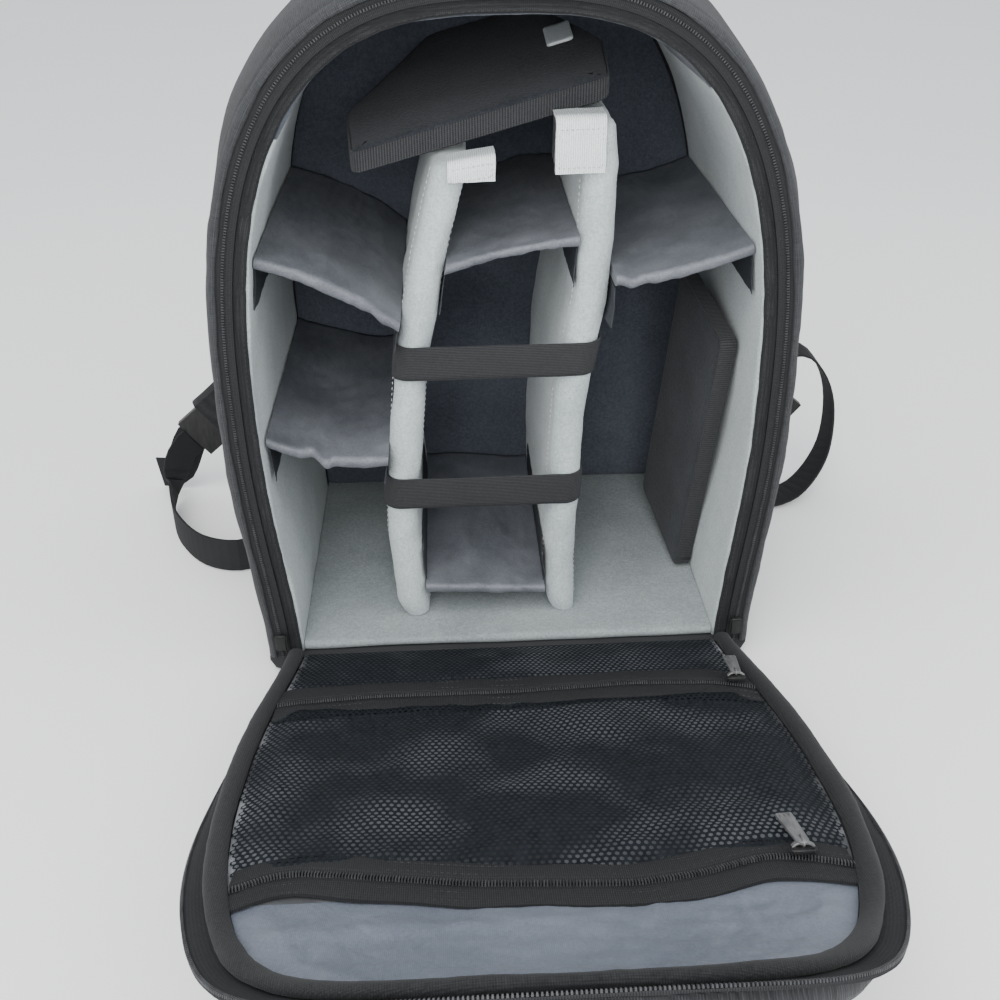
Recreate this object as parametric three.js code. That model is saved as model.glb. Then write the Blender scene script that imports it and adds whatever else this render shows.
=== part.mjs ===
// Camera backpack standing upright with its padded front flap unzipped and laid out in front.
// Millimetres, +Z up, -Y is the front. The origin is the middle of the body's base on the table.
import * as THREE from 'three';

// Driving sizes.
const clearance = 0.3; // gap between pieces that touch on the real bag
const bagDepth = 215; // front of the rim to the outside of the back panel
const openHalfWidth = 150; // middle of the opening to the zip line at its widest
const footHalfWidth = 140; // the same at the hinge
const hingeHeight = 16; // zip line's lowest point above the table
const sideRise = 150; // hinge to the widest place of the opening
const openRise = 375; // hinge to the top of the opening
const crownPower = 2.73; // squareness of the opening's top
const sideBow = 1.54; // how late the sides reach their full width

const rimOverhang = 9; // rim band outside the zip line
const rimInset = 11; // rim band inside the zip line
const rimThickness = 3;
const pipingRadius = 1.5;
const gussetBulge = 9; // how far the gusset swells past the rim
const backThickness = 10;
const baseThickness = 12;
const padThickness = 12;
const floorThickness = 6;
const liningThickness = 6;
const zipTapeHalf = 4.5;
const zipTapeThickness = 1.1;
const zipCoilHeight = 1.8;
const zipCoilHalf = 1.2;

const dividerThickness = 19;
const dividerSetback = 25; // rim front to the rolled front edge of the tall dividers
const leftFootX = -57;
const leftHeight = 287;
const leftBow = 30;
const rightFootX = 36;
const rightHeight = 307;
const rightBow = 14;
const bandWidth = 20;
const bandThickness = 1.4;
const bandReach = 27; // how far each band runs back along the outer flanks
const upperBandHeight = 195; // middle of the upper band above the table
const lowerBandHeight = 111;

const shelfThickness = 6;
const shelfSetback = 14; // rim front to the shelves' front edges
const wingDrop = 22; // hook-tape wings under the shelf ends
const wingThickness = 1.5;
const loosePadThickness = 13;

const flapAngle = THREE.MathUtils.degToRad(16.3); // rise of the flap away from the hinge
const flapStart = 8; // hinge to the near edge of the flap's panel
const flapCurlStart = 280; // hinge to where the flap's far end starts to curl up
const flapCurlRadius = 135;
const flapThickness = 12;
const flapLiningThickness = 1;
const flapRecess = 2; // zip line plane to the top of the flap's panel
const bindingWidth = 9.5;
const bindingHeight = 6.5;
const bindingInset = 4.5; // zip line to the outer side of the binding roll, where the panel ends too
const flapTapeNearDroop = 90; // degrees that the flap's zip tape hangs down near the hinge
const flapTapeFarDroop = 14; // and at the far end
const flapTapeTurnStart = 110; // hinge to where the tape starts to flare out
const flapTapeTurnEnd = 270;
const meshThickness = 1.2;
const upperZipHalf = 18; // half width of the near pocket zip's tape
const upperZipPlace = 78; // hinge to its middle
const lowerZipHalf = 14.5;
const lowerZipPlace = 262;
const pocketZipThickness = 1.5;

const webbingWidth = 25;
const webbingThickness = 1.5;
const strapWidth = 62;
const strapThickness = 13;

// Derived places.
const frontY = -bagDepth / 2;
const backY = bagDepth / 2;
const gussetBackY = backY - backThickness - clearance;
const liningBackY = backY - backThickness - clearance;
const liningFrontY = liningBackY - liningThickness;
const floorTop = baseThickness + clearance + floorThickness;
const padInner = -(clearance + padThickness);
const bodyHeight = hingeHeight + openRise + rimOverhang;
const bodyHalfWidth = openHalfWidth + rimOverhang + gussetBulge;

// Geometry helpers.
const sum = (list) => list.reduce((a, b) => a + b, 0);
const ringArea = (ring) => sum(ring.map(([x, y], i) => {
  const [u, v] = ring[(i + 1) % ring.length];
  return (x * v - u * y) / 2;
}));

// Closed solid through equal rings of points; flat is the ring's own 2D shape for the end caps.
function loft(rings, flat) {
  const n = flat.length;
  const faces = [];
  for (let i = 0; i < rings.length - 1; i++) {
    for (let j = 0; j < n; j++) {
      const k = (j + 1) % n;
      const a = i * n;
      const b = a + n;
      faces.push(a + j, b + j, b + k, a + j, b + k, a + k);
    }
  }
  const points = rings.flat();
  const turn = Math.sign(ringArea(flat));
  const end = (rings.length - 1) * n;
  const corners = flat.map(([x, y]) => new THREE.Vector2(x, y));
  const cap = THREE.ShapeUtils.triangulateShape(corners, []);
  if (cap.length === n - 2) {
    const capTurn = Math.sign(sum(cap.map((corner) => ringArea(corner.map((i) => flat[i])))));
    for (const [p, q, r] of cap) {
      const [s, t] = capTurn === turn ? [q, r] : [r, q];
      faces.push(p, s, t, end + p, end + t, end + s);
    }
  } else {
    // A convex outline with points in line is closed by a fan from its middle.
    const middle = (ring) => ring.reduce((a, b) => a.clone().add(b), new THREE.Vector3()).divideScalar(n);
    const first = points.push(middle(rings[0]), middle(rings.at(-1))) - 2;
    for (let j = 0; j < n; j++) {
      const k = (j + 1) % n;
      faces.push(first, j, k, first + 1, end + k, end + j);
    }
  }
  let volume = 0;
  for (let i = 0; i < faces.length; i += 3) {
    const [a, b, c] = [points[faces[i]], points[faces[i + 1]], points[faces[i + 2]]];
    volume += a.dot(b.clone().cross(c));
  }
  if (volume < 0) faces.reverse();
  const geometry = new THREE.BufferGeometry().setFromPoints(points);
  geometry.setIndex(faces);
  geometry.computeVertexNormals();
  return geometry;
}

// Straight solid of a flat outline between two placements of it.
const prism = (flat, placeA, placeB) => loft([flat.map(placeA), flat.map(placeB)], flat);
const alongY = (flat, y0, y1) =>
  prism(flat, ([x, z]) => new THREE.Vector3(x, y0, z), ([x, z]) => new THREE.Vector3(x, y1, z));
const alongX = (flat, x0, x1) =>
  prism(flat, ([y, z]) => new THREE.Vector3(x0, y, z), ([y, z]) => new THREE.Vector3(x1, y, z));

function lerpTable(rows, at) {
  let i = 1;
  while (i < rows.length - 1 && rows[i][0] < at) i++;
  const [a, b] = [rows[i - 1], rows[i]];
  return a[1] + (b[1] - a[1]) * (at - a[0]) / (b[0] - a[0]);
}

// The opening's outline, shared by the body and the flap.
const archSteps = 28; // facets on each half
function halfOutline(startRise) {
  const dense = [];
  const sideSamples = 60;
  for (let i = 0; i <= sideSamples; i++) {
    const rise = startRise + (sideRise - startRise) * i / sideSamples;
    const share = Math.max(0, rise) / sideRise;
    const widen = Math.sin(share * Math.PI / 2) ** sideBow;
    dense.push([footHalfWidth + (openHalfWidth - footHalfWidth) * widen, rise]);
  }
  const crownSamples = 240;
  for (let i = 1; i <= crownSamples; i++) {
    const a = i / crownSamples * Math.PI / 2;
    const x = openHalfWidth * Math.max(0, Math.cos(a)) ** (2 / crownPower);
    dense.push([x, sideRise + (openRise - sideRise) * Math.sin(a) ** (2 / crownPower)]);
  }
  const run = [0];
  for (let i = 1; i < dense.length; i++) {
    run.push(run[i - 1] + Math.hypot(dense[i][0] - dense[i - 1][0], dense[i][1] - dense[i - 1][1]));
  }
  const points = [];
  for (let k = 0; k <= archSteps; k++) {
    const at = run.at(-1) * k / archSteps;
    points.push([lerpTable(run.map((r, i) => [r, dense[i][0]]), at),
      lerpTable(run.map((r, i) => [r, dense[i][1]]), at)]);
  }
  return points;
}

// Stations from the right foot over the top to the left foot: place and outward direction.
function archOf(startRise) {
  const half = halfOutline(startRise);
  const right = half.map(([x, s], i) => {
    const [x0, s0] = half[Math.max(0, i - 1)];
    const [x1, s1] = half[Math.min(half.length - 1, i + 1)];
    const length = Math.hypot(x1 - x0, s1 - s0);
    return { x, s, nx: (s1 - s0) / length, ns: -(x1 - x0) / length };
  });
  Object.assign(right[0], { nx: 1, ns: 0 });
  Object.assign(right.at(-1), { x: 0, nx: 0, ns: 1 });
  const left = right.slice(0, -1).reverse().map(({ x, s, nx, ns }) => ({ x: -x, s, nx: -nx, ns }));
  return [...right, ...left];
}
const bodyArch = archOf(baseThickness + clearance - hingeHeight);
const flapArch = archOf(flapStart);
const archSegment = Math.hypot(bodyArch[1].x - bodyArch[0].x, bodyArch[1].s - bodyArch[0].s);

function archAt(arch, u) {
  const i = Math.min(Math.floor(u), arch.length - 2);
  const mix = (key) => arch[i][key] + (arch[i + 1][key] - arch[i][key]) * (u - i);
  return { x: mix('x'), s: mix('s'), nx: mix('nx'), ns: mix('ns') };
}
function archRun(arch, from, to) {
  const between = arch.filter((_, i) => i > from && i < to);
  return [archAt(arch, from), ...between, archAt(arch, to)];
}
const offset = (station, out) => [station.x + station.nx * out, station.s + station.ns * out];
const onBody = (x, s, depth) => new THREE.Vector3(x, frontY + depth, hingeHeight + s);
const onFlap = (x, s, lift) => {
  const turn = Math.max(0, s - flapCurlStart) / flapCurlRadius;
  const along = Math.min(s, flapCurlStart) + (flapCurlRadius - lift) * Math.sin(turn);
  const rise = flapCurlRadius - (flapCurlRadius - lift) * Math.cos(turn);
  return new THREE.Vector3(
    x,
    frontY - along * Math.cos(flapAngle) + rise * Math.sin(flapAngle),
    hingeHeight + along * Math.sin(flapAngle) + rise * Math.cos(flapAngle),
  );
};
function band(run, profile, place) {
  return loft(run.map((st) => profile.map(([out, d]) => place(...offset(st, out), d))), profile);
}
const rectangle = (a0, b0, a1, b1) => [[a0, b0], [a1, b0], [a1, b1], [a0, b1]];
const archEnd = bodyArch.length - 1;

// Half width inside a given offset of an outline at a height s above the hinge.
function halfWidthAt(arch, out, s) {
  const rows = arch.slice(0, archSteps + 1).map((st) => offset(st, out)).map(([x, r]) => [r, x]);
  return lerpTable(rows, s);
}
const padFaceX = (z) => halfWidthAt(bodyArch, padInner, z - hingeHeight);

// Flat outline of an arch cut off below s0 and above s1.
function archPatch(arch, out, s0, s1) {
  const top = offset(arch[archSteps], out)[1];
  const side = arch.slice(0, archSteps + 1).map((st) => offset(st, out));
  const inner = side.filter(([, s]) => s > s0 + 1 && s < s1 - 1);
  const right = [[halfWidthAt(arch, out, s0), s0], ...inner];
  if (s1 < top) right.push([halfWidthAt(arch, out, s1), s1]);
  const left = right.filter(([x]) => x > clearance).map(([x, s]) => [-x, s]).reverse();
  return [...right, ...left];
}

// Materials and assembly.
const bag = new THREE.Group();
const finish = (color, roughness, metalness = 0) =>
  () => new THREE.MeshStandardMaterial({ color, roughness, metalness });
const shellCloth = finish(0x4b4d50, 0.9);
const darkTrim = finish(0x232528, 0.85);
const paleLining = finish(0xa7b0b0, 0.95);
const darkLining = finish(0x14171c, 0.95);
const slateNylon = finish(0x3a3d42, 0.5);
const hookTape = finish(0xdfe4e4, 0.8);
const blackMesh = finish(0x101113, 0.8);
const greyNylon = finish(0x838c96, 0.6);
const zincPull = finish(0x8a8d90, 0.4, 0.9);
const blackPlastic = finish(0x17181a, 0.5);
function add(name, geometry, material) {
  const mesh = new THREE.Mesh(geometry, material());
  mesh.name = name;
  bag.add(mesh);
  return mesh;
}

// Shell.
const bulgeTable = [[0, 0], [0.1, 0.45], [0.3, 0.9], [0.52, 1], [0.75, 0.8], [1, 0.1]];
const gussetFrontDepth = rimThickness + clearance;
const gussetRun = gussetBackY - frontY - gussetFrontDepth;
const gussetProfile = [
  ...bulgeTable.map(([along, swell]) =>
    [rimOverhang + gussetBulge * swell, gussetFrontDepth + gussetRun * along]),
  [0, gussetFrontDepth + gussetRun],
  [0, gussetFrontDepth],
];
add('gusset_wall', band(bodyArch, gussetProfile, onBody), shellCloth);
const gussetOut = (y) =>
  rimOverhang + gussetBulge * lerpTable(bulgeTable, (y - frontY - gussetFrontDepth) / gussetRun);
const gussetSide = (y, z) => halfWidthAt(bodyArch, gussetOut(y), Math.max(z - hingeHeight, 0));

const rimProfile = rectangle(-rimInset, 0, rimOverhang, rimThickness);
add('rim_flange', band(bodyArch, rimProfile, onBody), darkTrim);

const round = (out, depth, radius, sides) => Array.from({ length: sides }, (_, i) => {
  const a = i / sides * 2 * Math.PI;
  return [out + radius * Math.cos(a), depth + radius * Math.sin(a)];
});
// Folded edge of the shell cloth on the rim, beside the zip tape.
const pipingOut = zipTapeHalf + clearance + pipingRadius;
const pipingDepth = -clearance - pipingRadius;
add('rim_piping', band(bodyArch, round(pipingOut, pipingDepth, pipingRadius, 6), onBody), darkTrim);

// A zip half: flat tape with a raised coil along the zip line; up is the side that shows.
const zipProfile = (up, level) => [
  [-zipTapeHalf, level],
  [zipTapeHalf, level],
  [zipTapeHalf, level + up * zipTapeThickness],
  [zipCoilHalf, level + up * zipTapeThickness],
  [zipCoilHalf, level + up * (zipTapeThickness + zipCoilHeight)],
  [-zipCoilHalf, level + up * (zipTapeThickness + zipCoilHeight)],
  [-zipCoilHalf, level + up * zipTapeThickness],
  [-zipTapeHalf, level + up * zipTapeThickness],
];
add('main_zip_tape', band(bodyArch, zipProfile(-1, -clearance), onBody), darkTrim);

const cornerCut = 9; // rounding of the base's lower edges
const baseHalf = footHalfWidth + rimOverhang;
const baseSection = [
  [-baseHalf + cornerCut, 0], [baseHalf - cornerCut, 0],
  [baseHalf - cornerCut / 3, cornerCut / 3], [baseHalf, cornerCut], [baseHalf, baseThickness],
  [-baseHalf, baseThickness], [-baseHalf, cornerCut], [-baseHalf + cornerCut / 3, cornerCut / 3],
];
add('base_panel', alongY(baseSection, frontY, gussetBackY), shellCloth);

const backOutline = [
  [baseHalf - cornerCut, 0],
  [baseHalf, cornerCut],
  ...bodyArch.map((st) => offset(st, rimOverhang)).map(([x, s]) => [x, hingeHeight + s]),
  [-baseHalf, cornerCut],
  [-baseHalf + cornerCut, 0],
];
add('back_panel', alongY(backOutline, backY - backThickness, backY), shellCloth);

// Inside linings.
const padBackDepth = gussetBackY - frontY;
const padProfile = rectangle(padInner, gussetFrontDepth, -clearance, padBackDepth);
const rightPadEnd = 0.375 * archEnd; // where the pale side pads stop and the dark crown lining starts
const leftPadEnd = 0.655 * archEnd;
const archGap = clearance / archSegment;
add('side_pad_right', band(archRun(bodyArch, 0, rightPadEnd), padProfile, onBody), paleLining);
add('side_pad_left', band(archRun(bodyArch, leftPadEnd, archEnd), padProfile, onBody), paleLining);
const crownRun = archRun(bodyArch, rightPadEnd + archGap, leftPadEnd - archGap);
add('top_lining', band(crownRun, padProfile, onBody), darkLining);

const floorHalf = footHalfWidth + padInner - clearance;
const floorBottom = baseThickness + clearance;
add('floor_pad', alongY(rectangle(-floorHalf, floorBottom, floorHalf, floorTop),
  frontY + gussetFrontDepth, liningBackY), paleLining);
const liningBottom = floorTop + clearance - hingeHeight;
const liningOutline = archPatch(bodyArch, padInner - clearance, liningBottom, Infinity)
  .map(([x, s]) => [x, hingeHeight + s]);
add('back_lining', alongY(liningOutline, liningFrontY, liningBackY), darkLining);

// Tall dividers.
// Columns: share of the height, share of the bow.
const leftBend = [[0, 0], [0.04, -0.1], [0.21, -0.22], [0.32, -0.18], [0.41, -0.07], [0.54, 0.05],
  [0.64, 0.17], [0.73, 0.35], [0.82, 0.53], [0.915, 0.77], [1, 1]];
const rightBend = [[0, 0], [0.03, -0.14], [0.1, -0.18], [0.23, -0.18], [0.3, -0.07], [0.42, 0.04],
  [0.49, 0.14], [0.54, 0.29], [0.62, 0.6], [0.68, 0.86], [0.8, 1], [0.92, 1.07], [1, 0.8]];
const dividerFoot = floorTop + clearance;
const dividerHalf = dividerThickness / 2;
const dividerFrontY = frontY + dividerSetback;
const dividerBackY = liningFrontY - clearance;
const makeDivider = (footX, height, bow, bend) => {
  const levels = bend.map(([rise, shift]) => [dividerFoot + height * rise, footX + bow * shift]);
  return { levels, top: dividerFoot + height, centre: (z) => lerpTable(levels, z) };
};
const leftDivider = makeDivider(leftFootX, leftHeight, leftBow, leftBend);
const rightDivider = makeDivider(rightFootX, rightHeight, rightBow, rightBend);
const noseSteps = 6;
const nose = (out) => Array.from({ length: noseSteps + 1 }, (_, i) => {
  const a = i / noseSteps * Math.PI;
  return [-(dividerHalf + out) * Math.cos(a), -(dividerHalf + out) * Math.sin(a)];
});
function dividerSolid(divider) {
  const noseY = dividerFrontY + dividerHalf;
  const flat = [
    ...nose(0).map(([x, y]) => [x, noseY + y]),
    [dividerHalf, dividerBackY],
    [-dividerHalf, dividerBackY],
  ];
  return loft(divider.levels.map(([z, x]) => flat.map(([dx, y]) => new THREE.Vector3(x + dx, y, z))), flat);
}
add('divider_left', dividerSolid(leftDivider), paleLining);
add('divider_right', dividerSolid(rightDivider), paleLining);

// Hook-tape tab folded over the front of a divider's top edge.
const tabThickness = 2.2;
const tabReach = 20; // back over the divider's top
function hookTab(divider, width, drop, aside) {
  const x = divider.centre(divider.top) + aside;
  const face = dividerFrontY - clearance;
  const top = divider.top + clearance;
  const flat = [
    [face - tabThickness, divider.top - drop], [face, divider.top - drop], [face, top],
    [dividerFrontY + tabReach, top], [dividerFrontY + tabReach, top + tabThickness],
    [face - tabThickness, top + tabThickness],
  ];
  return alongX(flat, x - width / 2, x + width / 2);
}
const leftTabWidth = 25;
const leftTabDrop = 9;
const rightTabWidth = 26;
const rightTabDrop = 26;
const leftTabAside = 10;
const rightTabAside = -8;
add('hook_tab_left', hookTab(leftDivider, leftTabWidth, leftTabDrop, leftTabAside), hookTape);
add('hook_tab_right', hookTab(rightDivider, rightTabWidth, rightTabDrop, rightTabAside), hookTape);

// Elastic band round the fronts of both dividers, its ends sewn to their outer flanks.
function elasticBand(height) {
  const noseY = dividerFrontY + dividerHalf;
  const endY = dividerFrontY + dividerHalf + bandReach;
  const side = (divider, mirror, out, z) => {
    const arc = nose(out).slice(0, noseSteps / 2 + 1).map(([x, y]) => [mirror * x, noseY + y]);
    const points = [[-mirror * (dividerHalf + out), endY], ...arc];
    return points.map(([x, y]) => new THREE.Vector3(divider.centre(z) + x, y, z));
  };
  const path = (out, z) => [...side(leftDivider, 1, out, z), ...side(rightDivider, -1, out, z).reverse()];
  const flat = [-1, 0, 1].map((row) => [clearance + bandThickness, row * bandWidth / 2]);
  flat.push(...flat.map(([, rise]) => [clearance, rise]).reverse());
  const edges = flat.map(([out, rise]) => path(out, height + rise));
  const rings = edges[0].map((_, i) => edges.map((edge) => edge[i]));
  return loft(rings, flat);
}
add('elastic_band_upper', elasticBand(upperBandHeight), darkTrim);
add('elastic_band_lower', elasticBand(lowerBandHeight), darkTrim);

// Shelves between the side pads and the dividers.
const leftPadWall = (z) => -padFaceX(z) + clearance;
const rightPadWall = (z) => padFaceX(z) - clearance;
const flank = (divider, side) => (z) => divider.centre(z) + side * (dividerHalf + clearance);
const leftOuter = flank(leftDivider, -1);
const leftInner = flank(leftDivider, 1);
const rightInner = flank(rightDivider, -1);
const rightOuter = flank(rightDivider, 1);
const shelfFrontY = frontY + shelfSetback;

// Heights are those of the top face at the left end, middle and right end.
function shelf(wallL, wallR, left, middle, right, startY) {
  const steps = 6;
  const height = (t) => (2 * (t - 0.5) * (t - 1)) * left + 4 * t * (1 - t) * middle + 2 * t * (t - 0.5) * right;
  const row = (drop) => Array.from({ length: steps + 1 }, (_, i) => {
    const t = i / steps;
    const z = height(t) - drop;
    return [wallL(height(0) - drop) * (1 - t) + wallR(height(1) - drop) * t, z];
  });
  return alongY([...row(0), ...row(shelfThickness).reverse()], startY, liningFrontY - clearance);
}
// Thin hook-tape wing lying against a wall; side 1 lies to the right of that wall.
function wing(wall, side, from, drop, startY) {
  const steps = 3;
  const heights = Array.from({ length: steps + 1 }, (_, i) => from - drop * i / steps);
  const near = heights.map((z) => [wall(z), z]);
  const far = heights.map((z) => [wall(z) + side * wingThickness, z]).reverse();
  return alongY([...near, ...far], startY + wingSetback, liningFrontY - bandReach);
}
const wingSetback = 4;
const wingGap = 5 * clearance; // under a sloping shelf end
// Rises are shares of the nearer divider's height. Drops are shares of a wing's, negative where it stands up.
const shelves = [
  { name: 'left_upper', walls: [leftPadWall, leftOuter], rises: [0.848, 0.799, 0.716], drops: [1, 0.5] },
  { name: 'left_lower', walls: [leftPadWall, leftOuter], rises: [0.479, 0.437, 0.43], drops: [1, 0.54] },
  { name: 'centre_upper', walls: [leftInner, rightInner], rises: [0.813, 0.845, 0.862], drops: [1, 1] },
  { name: 'centre_floor', walls: [leftInner, rightInner], rises: [0.088, 0.082, 0.075], drops: [-1, -1] },
  { name: 'right_upper', walls: [rightOuter, rightPadWall], rises: [0.741, 0.76, 0.796], drops: [1, 1] },
];
for (const { name, walls, rises, drops: shares } of shelves) {
  const span = walls[0] === rightOuter ? rightHeight : leftHeight;
  const heights = rises.map((rise) => dividerFoot + span * rise);
  const drops = shares.map((share) => share * wingDrop);
  const startY = walls[0] === leftInner ? dividerFrontY : shelfFrontY;
  add(`shelf_${name}`, shelf(...walls, ...heights, startY), slateNylon);
  const from = (height, drop) => drop > 0 ? height - shelfThickness - wingGap : height + wingGap;
  add(`shelf_${name}_wing_left`, wing(walls[0], 1, from(heights[0], drops[0]), drops[0], startY), darkTrim);
  add(`shelf_${name}_wing_right`, wing(walls[1], -1, from(heights[2], drops[1]), drops[1], startY), darkTrim);
}

// Loose dividers.
// One leans on both divider tops and against the back lining.
const topPadFrontY = dividerFrontY + tabReach + 4 * clearance;
const leftCorner = leftDivider.centre(leftDivider.top) - dividerHalf;
const rightCorner = rightDivider.centre(rightDivider.top) - dividerHalf;
const crossSlope = (rightDivider.top - leftDivider.top) / (rightCorner - leftCorner);
const backSlope = 0.15;
const topPadRun = dividerBackY - topPadFrontY;
const topPadUnder = (x, y) => leftDivider.top + clearance + crossSlope * (x - leftCorner)
  + backSlope * (y - topPadFrontY);
const topPadLeft = 49; // overhang past the left divider's outer corner
const topPadRight = 21; // overhang past the right divider's inner corner
const topPadSpan = topPadLeft + rightCorner - leftCorner + topPadRight;
// Columns: share of the pad's span from its left end, share of its run to the back.
const topPadCorners = [[0.04, 0], [0.98, 0], [1, 0.37], [0.78, 1], [0.33, 1], [0, 0.4]];
const topPadPlan = topPadCorners.map(([along, back]) =>
  [leftCorner - topPadLeft + topPadSpan * along, topPadFrontY + topPadRun * back]);
const padAt = (lift) => ([x, y]) => new THREE.Vector3(x, y, topPadUnder(x, y) + lift);
add('loose_divider_top', prism(topPadPlan, padAt(0), padAt(loosePadThickness)), darkLining);
const looseTabSize = 15;
const looseTabX = topPadPlan[2][0] - 2 * looseTabSize;
const looseTabY = topPadFrontY + topPadRun * 0.42;
const looseTabPlan = rectangle(looseTabX, looseTabY, looseTabX + looseTabSize, looseTabY + 2 * looseTabSize);
add('loose_divider_top_tab', prism(looseTabPlan, padAt(loosePadThickness + clearance),
  padAt(loosePadThickness + clearance + tabThickness)), hookTape);

// The other stands on the floor and leans against the right side pad.
const sideLooseThickness = 12;
const sideLooseRun = 85;
const sideLooseHeight = 180;
const sideLoose = new THREE.BoxGeometry(sideLooseThickness, sideLooseRun, sideLooseHeight);
sideLoose.rotateX(THREE.MathUtils.degToRad(10));
sideLoose.rotateY(THREE.MathUtils.degToRad(2));
sideLoose.rotateZ(THREE.MathUtils.degToRad(7));
sideLoose.computeBoundingBox();
sideLoose.translate(0, 0, floorTop + clearance - sideLoose.boundingBox.min.z);
const corners = sideLoose.getAttribute('position');
let reach = Infinity;
for (let i = 0; i < corners.count; i++) {
  reach = Math.min(reach, padFaceX(corners.getZ(i)) - clearance - corners.getX(i));
}
const sideLooseY = frontY + 0.455 * bagDepth;
sideLoose.translate(reach, sideLooseY, 0);
add('loose_divider_right', sideLoose, darkLining);

// Flap.
const flapTop = Infinity;
// Flap sheet between two lifts, lofted away from the hinge so that it follows the curl.
const plate = (out, s0, s1, h0, h1) => {
  const side = flapArch.slice(0, archSteps + 1).map((st) => offset(st, out));
  const inner = side.filter(([x, s]) => x > 1 && s > s0 + 1 && s < s1 - 1);
  const top = side.at(-1)[1];
  const last = s1 < top ? [halfWidthAt(flapArch, out, s1), s1] : [inner.at(-1)[0] / 2, top];
  const rows = [[halfWidthAt(flapArch, out, s0), s0], ...inner, last];
  const rings = rows.map(([w, s]) => rectangle(-w, h0, w, h1).map(([x, h]) => onFlap(x, s, h)));
  return loft(rings, rectangle(-1, h0, 1, h1));
};
const panelTopLift = -flapRecess;
const panelUnderLift = panelTopLift - flapThickness;
add('flap_panel', plate(-bindingInset, flapStart, flapTop, panelUnderLift, panelTopLift), shellCloth);

const liningInset = -(bindingInset + bindingWidth + clearance);
const liningLift = panelTopLift + clearance;
const meshLift = liningLift + flapLiningThickness + clearance;
const zipLift = meshLift + meshThickness + clearance;
add('flap_lining',
  plate(liningInset, flapStart, flapTop, liningLift, liningLift + flapLiningThickness), greyNylon);
const meshEndFar = lowerZipPlace;
add('mesh_pocket_upper',
  plate(liningInset, flapStart, upperZipPlace - clearance, meshLift, meshLift + meshThickness), blackMesh);
add('mesh_pocket_lower',
  plate(liningInset, upperZipPlace + clearance, meshEndFar, meshLift, meshLift + meshThickness), blackMesh);

// Columns: share of the zip's reach across the flap, shift away from the hinge as a share of its half width.
const upperZipWave = [[-1, 0.35], [-0.6, 0.05], [0, 0.1], [0.5, -0.2], [0.85, 0], [1, 0.4]];
const lowerZipWave = [[-1, -0.15], [-0.92, -0.6], [-0.82, -0.75], [-0.64, -0.48], [-0.23, 0.16],
  [0.29, 0.49], [0.51, 0.17], [0.75, -0.55], [0.87, -0.4], [1, -0.03]];
// A pocket zip: flat tape across the flap with its coil along the middle.
function pocketZip(place, half, wave) {
  const coil = zipLift + pocketZipThickness + zipCoilHeight;
  const rows = [
    [-half, zipLift], [half, zipLift],
    [half, zipLift + pocketZipThickness], [zipCoilHalf, zipLift + pocketZipThickness],
    [zipCoilHalf, coil], [-zipCoilHalf, coil],
    [-zipCoilHalf, zipLift + pocketZipThickness], [-half, zipLift + pocketZipThickness],
  ];
  const edge = (share) => halfWidthAt(flapArch, liningInset, place + share * half) - clearance;
  const reachX = Math.min(edge(-1), edge(1));
  const rings = wave.map(([share, shift]) =>
    rows.map(([s, h]) => onFlap(share * reachX, place + shift * half + s, h)));
  return { reachX, middle: (x) => place + half * lerpTable(wave, x / reachX), solid: loft(rings, rows) };
}
const upperZip = pocketZip(upperZipPlace, upperZipHalf, upperZipWave);
const lowerZip = pocketZip(lowerZipPlace, lowerZipHalf, lowerZipWave);
add('pocket_zip_upper', upperZip.solid, darkTrim);
add('pocket_zip_lower', lowerZip.solid, darkTrim);

const bindingProfile = [
  [-bindingInset - bindingWidth, liningLift],
  [-bindingInset, liningLift],
  [-bindingInset, liningLift + bindingHeight * 0.55],
  [-bindingInset - bindingWidth * 0.3, liningLift + bindingHeight],
  [-bindingInset - bindingWidth * 0.7, liningLift + bindingHeight],
  [-bindingInset - bindingWidth, liningLift + bindingHeight * 0.55],
];
add('flap_binding', band(flapArch, bindingProfile, onFlap), darkTrim);
// The flap's zip tape, sewn on outside the roll, with its coil along the free edge.
const tapeWidth = 2 * zipTapeHalf;
const coilNear = tapeWidth - 2 * zipCoilHalf;
const tapeSection = [
  [0, 0], [tapeWidth, 0], [tapeWidth, zipTapeThickness + zipCoilHeight],
  [coilNear, zipTapeThickness + zipCoilHeight], [coilNear, zipTapeThickness], [0, zipTapeThickness],
];
const droopTable = [[flapTapeTurnStart, flapTapeNearDroop], [flapTapeTurnEnd, flapTapeFarDroop]];
const flapTapeRings = flapArch.map((st) => {
  const turned = THREE.MathUtils.clamp(st.s, flapTapeTurnStart, flapTapeTurnEnd);
  const droop = THREE.MathUtils.degToRad(lerpTable(droopTable, turned));
  return tapeSection.map(([along, up]) => onFlap(
    ...offset(st, clearance - bindingInset + along * Math.cos(droop) + up * Math.sin(droop)),
    liningLift - along * Math.sin(droop) + up * Math.cos(droop),
  ));
});
add('flap_zip_tape', loft(flapTapeRings, tapeSection), darkTrim);

// Cloth hinge from the base's front face to the near edge of the flap's panel.
const hingeThickness = 2;
const near = onFlap(0, flapStart - 1.5 * clearance, panelTopLift - hingeThickness / 4);
const under = onFlap(0, flapStart - 1.5 * clearance, panelTopLift - hingeThickness * 1.25);
const hingeBack = frontY - clearance;
const hingeSection = [
  [hingeBack, baseThickness / 4], [hingeBack, baseThickness],
  [hingeBack - hingeThickness, baseThickness + hingeThickness], [near.y, near.z], [under.y, under.z],
  [hingeBack - hingeThickness * 1.5, baseThickness - hingeThickness * 0.4],
  [hingeBack - hingeThickness, baseThickness / 4],
];
const hingeHalf = footHalfWidth - zipTapeHalf - clearance;
add('flap_hinge', alongX(hingeSection, -hingeHalf, hingeHalf), darkTrim);

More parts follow.
